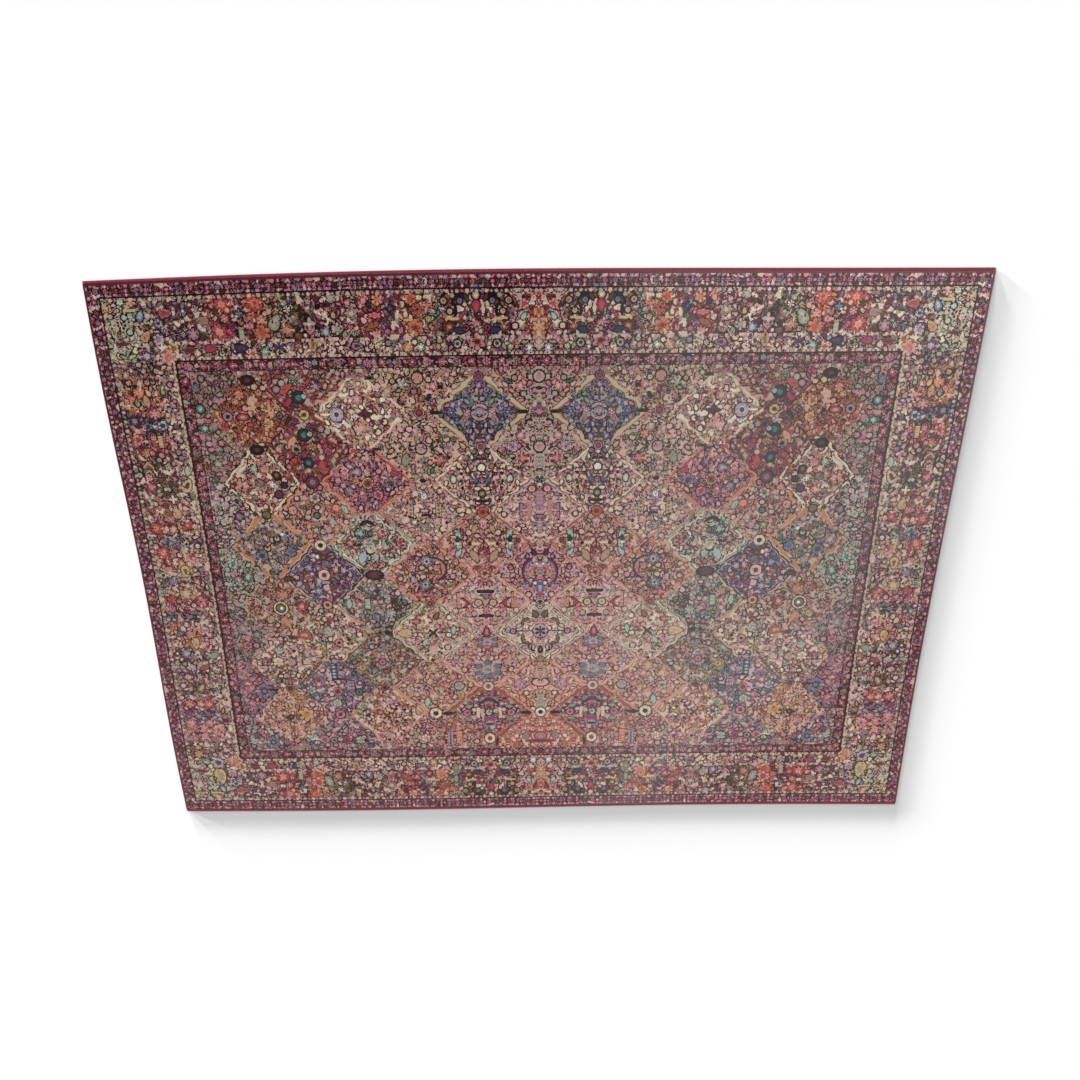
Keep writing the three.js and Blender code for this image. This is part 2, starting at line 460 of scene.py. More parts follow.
END_STRETCHES = """
from to ground dark light middle
994 930 umber/sage ink/umber/maroon stone/taupe plum/sage/rose
930 770 tan/rust maroon/forest/ink salmon/sand red/salmon/sage/orange
770 700 ink/plum ink/navy/maroon mauve/slate slate/ink/pine/maroon
700 610 rust/rose maroon/umber/ink salmon/blush red/rose/tan/crimson
610 366 umber/umber ink/forest/maroon stone/rose umber/rust/olive/sage
366 294 rust/rust umber/maroon/rust sand/blush tan/salmon/olive/rose
294 210 rust/crimson maroon/ink/umber salmon/blush red/crimson/rose/olive
210 162 slate/taupe ink/pine/plum stone/mint teal/slate/plum/rose
162 71 rose/taupe maroon/ink/umber blush/salmon crimson/red/tan/salmon
71 20 sand/sand taupe/olive/rust sand/blush gold/sand/rose/stone
20 -50 taupe/umber ink/maroon/umber blush/stone mauve/slate/rose/sage
-50 -102 sand/stone taupe/rust/olive sand/blush sand/salmon/gold/stone
-102 -172 rose/blush maroon/umber salmon/blush crimson/rose/red/mauve
-172 -213 slate/taupe ink/pine stone/mint slate/teal/mauve
-213 -370 tan/rose umber/maroon/plum sand/blush salmon/rose/tan/orange
-370 -508 umber/slate ink/plum/umber stone/blush/cream plum/slate/sage/crimson
-508 -629 taupe/umber ink/maroon/forest blush/stone tan/rose/slate/olive
-629 -711 rose/taupe maroon/rust/umber blush/salmon crimson/rose/red/sage
-711 -771 mauve/slate ink/plum/navy stone/lilac slate/magenta/mauve/rose
-771 -893 rose/salmon maroon/rust/mauve blush/salmon crimson/rose/salmon/sage
-893 -994 stone/taupe ink/umber/maroon cream/stone sage/mauve/tan/rose
"""

# The border's own motifs, with places from the rug's middle. size is half a motif's length, and the yarns
# run from its rim in. Where turn is left out, it is 90 degrees, to the near side. Where width is, it is 1
BORDER_MOTIFS = """
fold form x y size yarns turn width
: rosette 0 1230 14 rust/salmon/red 90 1.6
: rosette 0 1190 17 rose/blush/crimson
: rosette 0 1160 24 orange/salmon/rust
: bar 0 1130 6 salmon 90 6
: rosette 0 1104 28 tan/salmon/gold
: rosette 0 1074 24 tan/salmon/sand 90 .6
: disc -20 1214 9 cream/rose
: rosette -60 1190 21 rose/salmon/red
: bud -60 1144 17 teal/mint 60
: rosette -58 1074 14 rose/crimson
: rosette -100 1044 12 rose/maroon
: rosette -40 1020 20 slate/sky/ivory
: rosette 0 1034 26 salmon/blush 90 .6
: leaf -436 1140 32 sage/forest 0
: disc -436 1140 7 mint
: rosette -520 1214 26 rust/orange/red
: rosette -450 1190 20 salmon/red/orange
: rosette -486 1218 11 cream/sand
: rosette -490 1170 26 orange/red/rust
: bar -520 1134 5 gold 90 6
: rosette -450 1136 14 olive/gold
: rosette -504 1104 36 rust/orange/red/maroon
: rosette -566 1094 22 crimson/maroon/rose
: rosette -596 1244 30 magenta/plum/mauve
: star -604 1178 24 navy/ink/slate
: rosette -604 1140 12 ink/sage
: rosette -710 1210 23 blush/crimson/salmon
: rosette -654 1214 26 red/salmon/orange
: rosette -690 1196 13 ink/forest
: rosette -668 1154 14 red/rose 90 2.2
: leaf -680 1112 34 umber/rust 30
: rosette -664 1084 21 crimson/salmon/rose
: rosette -620 1090 13 crimson/rose
: rosette -840 1224 23 ink/sage/stone
: rosette -870 1162 17 ink/blush/cream
: rosette -824 1104 28 ink/stone/sage
: rosette -874 1094 24 ink/slate/sky
: bud -836 1158 12 gold/tan
: star -770 1244 19 cream/ink
: rosette -760 1164 24 stone/taupe/sand
: rosette -770 1114 14 rose/crimson
: rosette -790 1082 18 forest/sage
: bar -850 1066 5 blush 90 6
: rosette -1022 1184 17 ink/cream
: rosette -984 1192 17 ink/forest/olive
: rosette -934 1210 12 maroon/blush
: rosette -1030 1104 30 ink/rust/tan
: bud -1076 1136 35 olive/sage/stone 60
: star -936 1126 28 mauve/stone/blush
: chevron -936 1098 26 ink/rose -90
: rosette -1150 1214 36 rust/red/orange/crimson
: rosette -1128 1144 24 orange/tan/salmon
: disc -1096 1178 10 salmon
: rosette -1130 1096 34 red/orange/red/rust
: rosette -1180 1124 18 crimson/rose
: rosette -1172 1078 11 ink/maroon
: star -1218 1174 20 pine/slate
: braid -1216 1094 26 sage/stone 90 .4
: rosette -1284 1210 31 crimson/red/salmon/orange
: disc -1264 1188 9 gold
: rosette -1314 1184 13 umber/forest
: rosette -1340 1170 11 crimson/rose
: rosette -1306 1102 36 crimson/red/salmon/rose
: rosette -1260 1104 21 magenta/crimson
: rosette -1280 1156 18 rust/salmon
: disc -1444 1190 9 maroon/blush
: disc -1414 1214 9 maroon/blush
: disc -1402 1194 9 maroon/blush
: disc -1450 1150 10 ink/cream
: bar -1474 1140 7 cream 60 1.6
: rosette -1414 1098 27 ink/mauve/rose
: rosette -1456 1098 14 ink/stone
: bud -1370 1150 24 tan/taupe 180
: bud -1518 1184 25 rose/rust/crimson 0
: rosette -1550 1144 19 slate/lilac/navy
: rosette -1530 1120 16 slate/stone
: rosette -1560 1082 25 plum/lilac/mauve
: rosette -1754 1208 24 cream/orange/gold
: rosette -1774 1232 12 teal/forest
: rosette -1650 1234 20 blush/salmon
: rosette -1692 1234 14 cream/mint
: bar -1660 1200 6 gold 90 4
: bud -1620 1178 26 ink/slate/sky 70
: rosette -1590 1174 13 cream/stone
: bud -1610 1094 25 gold/tan/orange 50
: rosette -1710 1066 10 maroon/umber 90 3.4
: disc -1706 1046 10 umber/blush
: rosette -486 1028 19 forest/mint/ivory
: rosette -540 1028 22 red/orange/gold
: rosette -594 1044 14 sage/forest
: rosette -650 1036 18 gold/cream/olive
: rosette -690 1034 14 ink/cream
: bud -748 1036 25 plum/mauve/maroon 0
: rosette -870 1030 18 ink/ivory/crimson
: bud -930 1044 28 salmon/tan/olive -90
: rosette -990 1034 17 olive/tan/rust
: rosette -1070 1036 26 ink/plum/navy
: rosette -1130 1020 22 ink/teal/mint
: rosette -1180 1014 20 salmon/blush/red
: bud -1224 1038 27 ink/navy/plum 0
: rosette -1290 1030 18 cream/olive/ink
: bud -1350 1038 25 maroon/crimson 0
: leaf -1440 1034 26 rust/maroon 0
: rosette -1504 1042 25 tan/gold/rust
: rosette -1530 1006 34 blush/salmon/orange/rose
: rosette -1620 1014 30 mauve/plum/lilac
. bud -1620 -1100 47 olive/gold/sage -80
. rosette -1130 -1140 36 red/salmon/crimson
. rosette -1100 -1060 34 crimson/salmon
. rosette -500 -1096 36 orange/salmon/orange
. leaf -430 -1060 26 sage/leaf
. leaf -430 -1128 26 teal/sage
. rosette -1210 -1031 26 ink/stone/sage
. rosette -1680 863 27 red/orange/salmon
. bud -1642 863 16 orange/sand 120
. leaf -1654 826 30 rust/tan 100
. bud -1580 869 27 tan/forest/sage
. rosette -1592 812 24 maroon/crimson/salmon
. rosette -1630 771 26 crimson/rose/salmon
. rosette -1720 782 19 rust/orange/red
. bud -1694 822 18 forest/sage
. rosette -1720 742 27 plum/navy/mauve
. rosette -1668 718 19 teal/slate/pine
. rosette -1606 721 23 slate/sky/navy
. rosette -1576 751 12 orange/umber
. rosette -1720 660 25 rose/salmon/crimson
. rosette -1654 666 14 red/blush
. rosette -1650 640 12 red/rust
. rosette -1698 629 16 navy/plum
. braid -1626 650 27 tan/gold 90 .4
. rosette -1586 660 20 crimson/rose
. rosette -1572 632 18 crimson/rose
. rosette -1700 599 21 rust/orange
. chevron -1700 548 28 ink/tan
. chevron -1700 516 24 ink/tan
. rosette -1706 490 18 crimson/blush
. rosette -1614 538 18 ink/stone
. leaf -1532 518 28 sage/mint 80
. rosette -1706 447 27 maroon/crimson/rose
. rosette -1754 447 14 ink/forest
. bud -1546 451 34 tan/sand/umber 60
. rosette -1530 402 13 sage/forest/leaf
. star -1620 388 22 stone/cream
. bud -1614 326 30 salmon/tan/gold/olive
. rosette -1720 286 17 magenta/plum
. rosette -1720 252 27 crimson/red/salmon
. rosette -1644 244 21 red/salmon/blush
. leaf -1580 260 34 crimson/red 40
. braid -1612 254 28 tan/stone 100 .2
. rosette -1660 193 22 teal/slate
. rosette -1694 190 17 plum/mauve
. twig -1596 193 26 ink/sage
. rosette -1710 132 31 crimson/red/salmon
. rosette -1580 108 33 rose/salmon/crimson
. braid -1614 120 30 sand/gold 90 .16
. leaf -1764 102 15 forest/leaf
. bud -1636 71 27 orange/tan/gold
. bud -1624 38 30 tan/gold/olive -90
. rosette -1730 20 17 sage/mint/ink
. rosette -1690 -10 23 ink/slate/mauve
. rosette -1580 -10 25 ink/maroon/rose
. rosette -1740 -61 14 mint/ink
. rosette -1640 -71 31 olive/tan/sand
. rosette -1610 -91 14 salmon/tan
. rosette -1710 -102 25 maroon/crimson/red
. rosette -1678 -112 14 maroon/salmon
. rosette -1570 -114 31 crimson/red/rose
. rosette -1574 -152 18 rose/crimson
. rosette -1716 -152 18 crimson/rose
. rosette -1640 -193 16 ink/pine/slate 90 1.8
. disc -1600 -193 9 ink/mint
. rosette -1706 -233 17 crimson/salmon/red
. disc -1640 -250 9 plum/blush
. leaf -1700 -284 25 plum/slate 30
. rosette -1580 -264 23 crimson/rose/mauve
. braid -1606 -254 30 tan/sand 90 .18
. rosette -1654 -284 18 rose/salmon
. bud -1634 -335 30 orange/gold/tan -90
. disc -1666 -355 10 olive/forest
. rosette -1550 -329 18 salmon/blush
. rosette -1730 -325 11 sage/mint/ink
. rosette -1686 -390 27 ink/slate/lilac
. rosette -1650 -408 22 plum/mauve/taupe
. disc -1728 -388 9 ink/cream
. leaf -1562 -402 36 teal/sage/mint 20
. rosette -1670 -467 23 ink/lilac/stone
. leaf -1610 -467 26 red/rust 20
. rosette -1534 -447 16 blush/salmon
. rosette -1696 -518 17 crimson/blush
. rosette -1642 -516 16 ink/slate
. rosette -1580 -508 19 forest/teal
. bud -1640 -578 31 umber/olive/gold 60
. rosette -1590 -544 12 maroon/rose
. rosette -1570 -599 22 ink/slate
. rosette -1710 -668 26 crimson/rose/salmon
. rosette -1654 -668 22 red/salmon/blush
. rosette -1618 -672 28 crimson/red/salmon
. rosette -1588 -648 20 maroon/rose
. rosette -1720 -731 25 plum/magenta
. rosette -1678 -741 14 slate/stone
. rosette -1630 -731 16 navy/slate
. rosette -1550 -741 18 forest/taupe
. rosette -1720 -784 31 magenta/rose/salmon
. braid -1662 -812 26 rose/salmon 60 .5
. rosette -1630 -782 22 crimson/rose
. rosette -1590 -822 33 rose/salmon/rose/crimson
. leaf -1532 -812 24 stone/cream
. rosette -1662 -856 21 rose/salmon
. rosette -1708 -924 21 umber/rust/gold
. rosette -1710 -964 23 rust/gold/tan
. rosette -1620 -1016 32 mauve/lilac/plum
"""

# The dark cluster in the near and far sides, mirrored about the line where column B begins
CLUSTER_X = -254
CLUSTER = """
fold form x y size yarns turn width
+ arc 100 1204 40 ink 90 1.1
+ arc 62 1196 36 ink 60
+ disc 132 1204 14 ink/tan/olive
+ disc 96 1224 12 ink/sage/tan
+ disc 66 1204 13 ink/slate/blue
+ leaf 40 1216 20 ink/umber 60
+ disc 108 1164 13 ink/stone/tan
+ bar 84 1168 20 ink 90 .25
+ disc 58 1172 8 cream
+ disc 46 1190 7 blush
+ disc 38 1150 8 ink/pine
+ disc 62 1146 11 maroon/crimson
+ bar 98 1136 5 gold 90 5.4
+ rosette 112 1104 25 ink/umber/rust/salmon 90 1.25
+ leaf 70 1090 30 ink/navy 8
+ disc 44 1100 13 maroon/crimson/ink
+ bar 88 1066 7 stone/sky 90 4
+ disc 82 1038 17 ink/stone/forest
+ disc 52 1060 9 forest/mint
+ disc 48 1022 10 ink/cream
: bar 0 1258 12 navy/slate
: disc 0 1224 17 ink/tan/cream
: bud 0 1180 27 maroon/crimson/red -90
: disc 0 1150 9 ink/pine
: rosette 0 1118 15 maroon/crimson/rose 90 1.8
: disc 0 1094 11 ink/sage
: rosette 0 1046 36 salmon/rose/red/forest
: disc 0 1046 10 ink/forest
"""

# The bands round the whole rug by their depth from the pile's edge, and under what height their hollows lie
BANDS = """
from to ground dark light middle hollows
0 53 maroon/plum ink/maroon/umber rose/mauve crimson/plum/rose/mauve -0.2
238 302 stone/taupe ink/maroon/plum cream/blush rose/sage/tan/mauve -0.8
317 360 maroon/plum ink/ink/umber rose/stone crimson/taupe/slate/rose -0.2
"""

# What is strung along the bands: its depth and step, and the yarns of one after another
STRINGS = """
depth step form size yarns ...
30 41 rosette 13 maroon/crimson/rose ink/rust maroon/rose plum/mauve
12 41 disc 5 blush rose mauve
46 41 disc 5 rose blush mauve
66 20 disc 7 stone umber/stone blush umber/sage
242 20 disc 6 stone umber blush
338 62 rosette 20 maroon/crimson/rose plum/taupe ink/crimson/salmon maroon/rose/stone
338 62 disc 7 ink/cream ink/rose
307 17 disc 6 sand stone blush umber
"""

# Plain lines between the bands: from and to what depth, and their yarn
LINES = ((0, 5, "maroon"), (52, 57, "ink"), (302, 304, "sand"), (311, 317, "ink"), (357, 361, "ink"))

# The field's panels: the ground at the near and the far tip, the yarns of the small blossoms on it, and the
# outline's bands from the outside in, each a yarn and its width
GROUNDS = """
panel ground dark light middle bands ...
A0 stone/blush rust/maroon/umber blush/stone rose/stone/salmon/sage
A2 stone/blush umber/maroon/umber blush/stone rose/stone/blush/sage
A4 blush/rose umber/maroon/mauve cream/blush rose/blush/mauve/salmon taupe-5 blush-8
A6 rose/rose ink/plum/maroon blush/lilac rose/lilac/salmon/salmon salmon-10 rust-4
A8 cream/blush taupe/mauve/rose cream/ivory/blush blush/stone/mint/salmon ink-5 cream-9 forest-4 mint-7
A10 salmon/blush rust/taupe/rust blush/cream salmon/sand/blush/rose salmon-10 rust-4
A12 salmon/blush rust/red/taupe blush/cream salmon/blush/orange/rose rust-8 orange-6
B1 slate/mauve ink/navy/plum lilac/sage slate/mauve/teal/plum/rose umber-3 sand-20 olive-6
B3 taupe/rose ink/umber/maroon cream/blush slate/rose/stone/salmon umber-4 cream-11 taupe-3
B5 tan/rose maroon/umber/rust blush/sand salmon/rose/crimson/sage rust-6 salmon-5
B7 blush/blush salmon/mauve/red blush/cream blush/rose/salmon/stone blush-7 olive-3
B9 blush/blush rust/mauve/rust blush/stone blush/salmon/stone/blush blush-9 rust-3
B11 rose/taupe umber/maroon/ink blush/stone rose/mauve/sage/crimson umber-3 rust-15 orange-6
C0 stone/tan ink/umber/pine sand/blush rose/sage/tan/rust
C2 stone/sand umber/umber/pine sand/blush rose/blush/salmon/sage
C4 rose/stone ink/taupe/plum cream/blush rose/stone/sand/salmon rust-4 tan-7
C6 rust/taupe ink/maroon/plum blush/sand rose/salmon/tan/salmon salmon-13 rust-5
C8 sand/blush rust/olive/rose cream/ivory/blush blush/sage/mint/salmon ink-5 cream-9 forest-3 mint-5
C10 tan/rose rust/taupe/maroon blush/sand salmon/rose/sand/stone salmon-9 olive-4
C12 rose/taupe maroon/umber blush/stone salmon/rose/salmon/stone
D1 sand/stone rust/maroon/taupe cream/ivory rose/salmon/tan/stone tan-4 cream-8 blush-3
D3 plum/crimson ink/navy/maroon salmon/blush rose/mauve/salmon/rose salmon-6 red-9
D5 taupe/stone ink/forest/maroon cream/mint/blush teal/rose/salmon/mint mint-8 forest-4 cream-9
D7 taupe/sage forest/navy/umber stone/blush sage/teal/rose/mint olive-4 sand-6
D9 taupe/sage forest/ink/umber lilac/sand tan/mauve/rust/sage forest-6 olive-5
D11 tan/rose umber/ink/rust cream/blush rose/salmon/stone/orange orange-6 blush-6
E0 crimson/rust ink/maroon/pine salmon/stone crimson/red/sage/plum
E2 crimson/rust ink/maroon/pine salmon/stone crimson/red/olive/plum
E4 orange/taupe umber/maroon/pine blush/stone orange/salmon/sage/rose orange-6 salmon-6
E6 navy/plum ink/navy/maroon lilac/blush plum/mauve/slate/rust ink-8 lilac-4 navy-4
E8 stone/taupe ink/umber/maroon blush/cream sage/rose/stone/gold salmon-5 sand-6
E10 mauve/taupe ink/plum/navy lilac/blush mauve/rose/teal/slate mauve-5 forest-5
E12 mauve/rose ink/maroon/navy blush/stone rose/teal/sage/magenta
F1 rust/rust ink/maroon/forest salmon/sand rust/red/rust/orange
F3 taupe/sage ink/umber/forest blush/cream salmon/rose/sage/red ink-6 cream-11 umber-3
F5 taupe/slate ink/navy/umber stone/sand slate/mauve/olive/tan sand-6 orange-15 tan-4
F7 tan/taupe umber/maroon/ink sand/stone rust/salmon/sage/rose sand-5 taupe-5
F9 rose/stone umber/maroon/pine blush/cream blush/sage/salmon/stone
F11 tan/rose umber/olive/maroon sand/blush orange/salmon/gold/rose
G0 taupe/taupe ink/maroon/pine sage/rose teal/sage/rose/rust
G2 taupe/sage ink/maroon/forest stone/rose teal/sage/rose/rust
G4 stone/stone plum/ink/forest mint/blush sage/rose/stone/mauve
G6 sage/taupe ink/forest/maroon mint/stone sage/mint/rose/stone
G8 taupe/sage ink/forest/umber stone/rose sage/rose/mauve/teal
G10 taupe/mauve ink/navy/maroon stone/rose mauve/rose/slate/rust
G12 taupe/slate ink/navy/plum stone/blush slate/rose/mauve/sage
"""

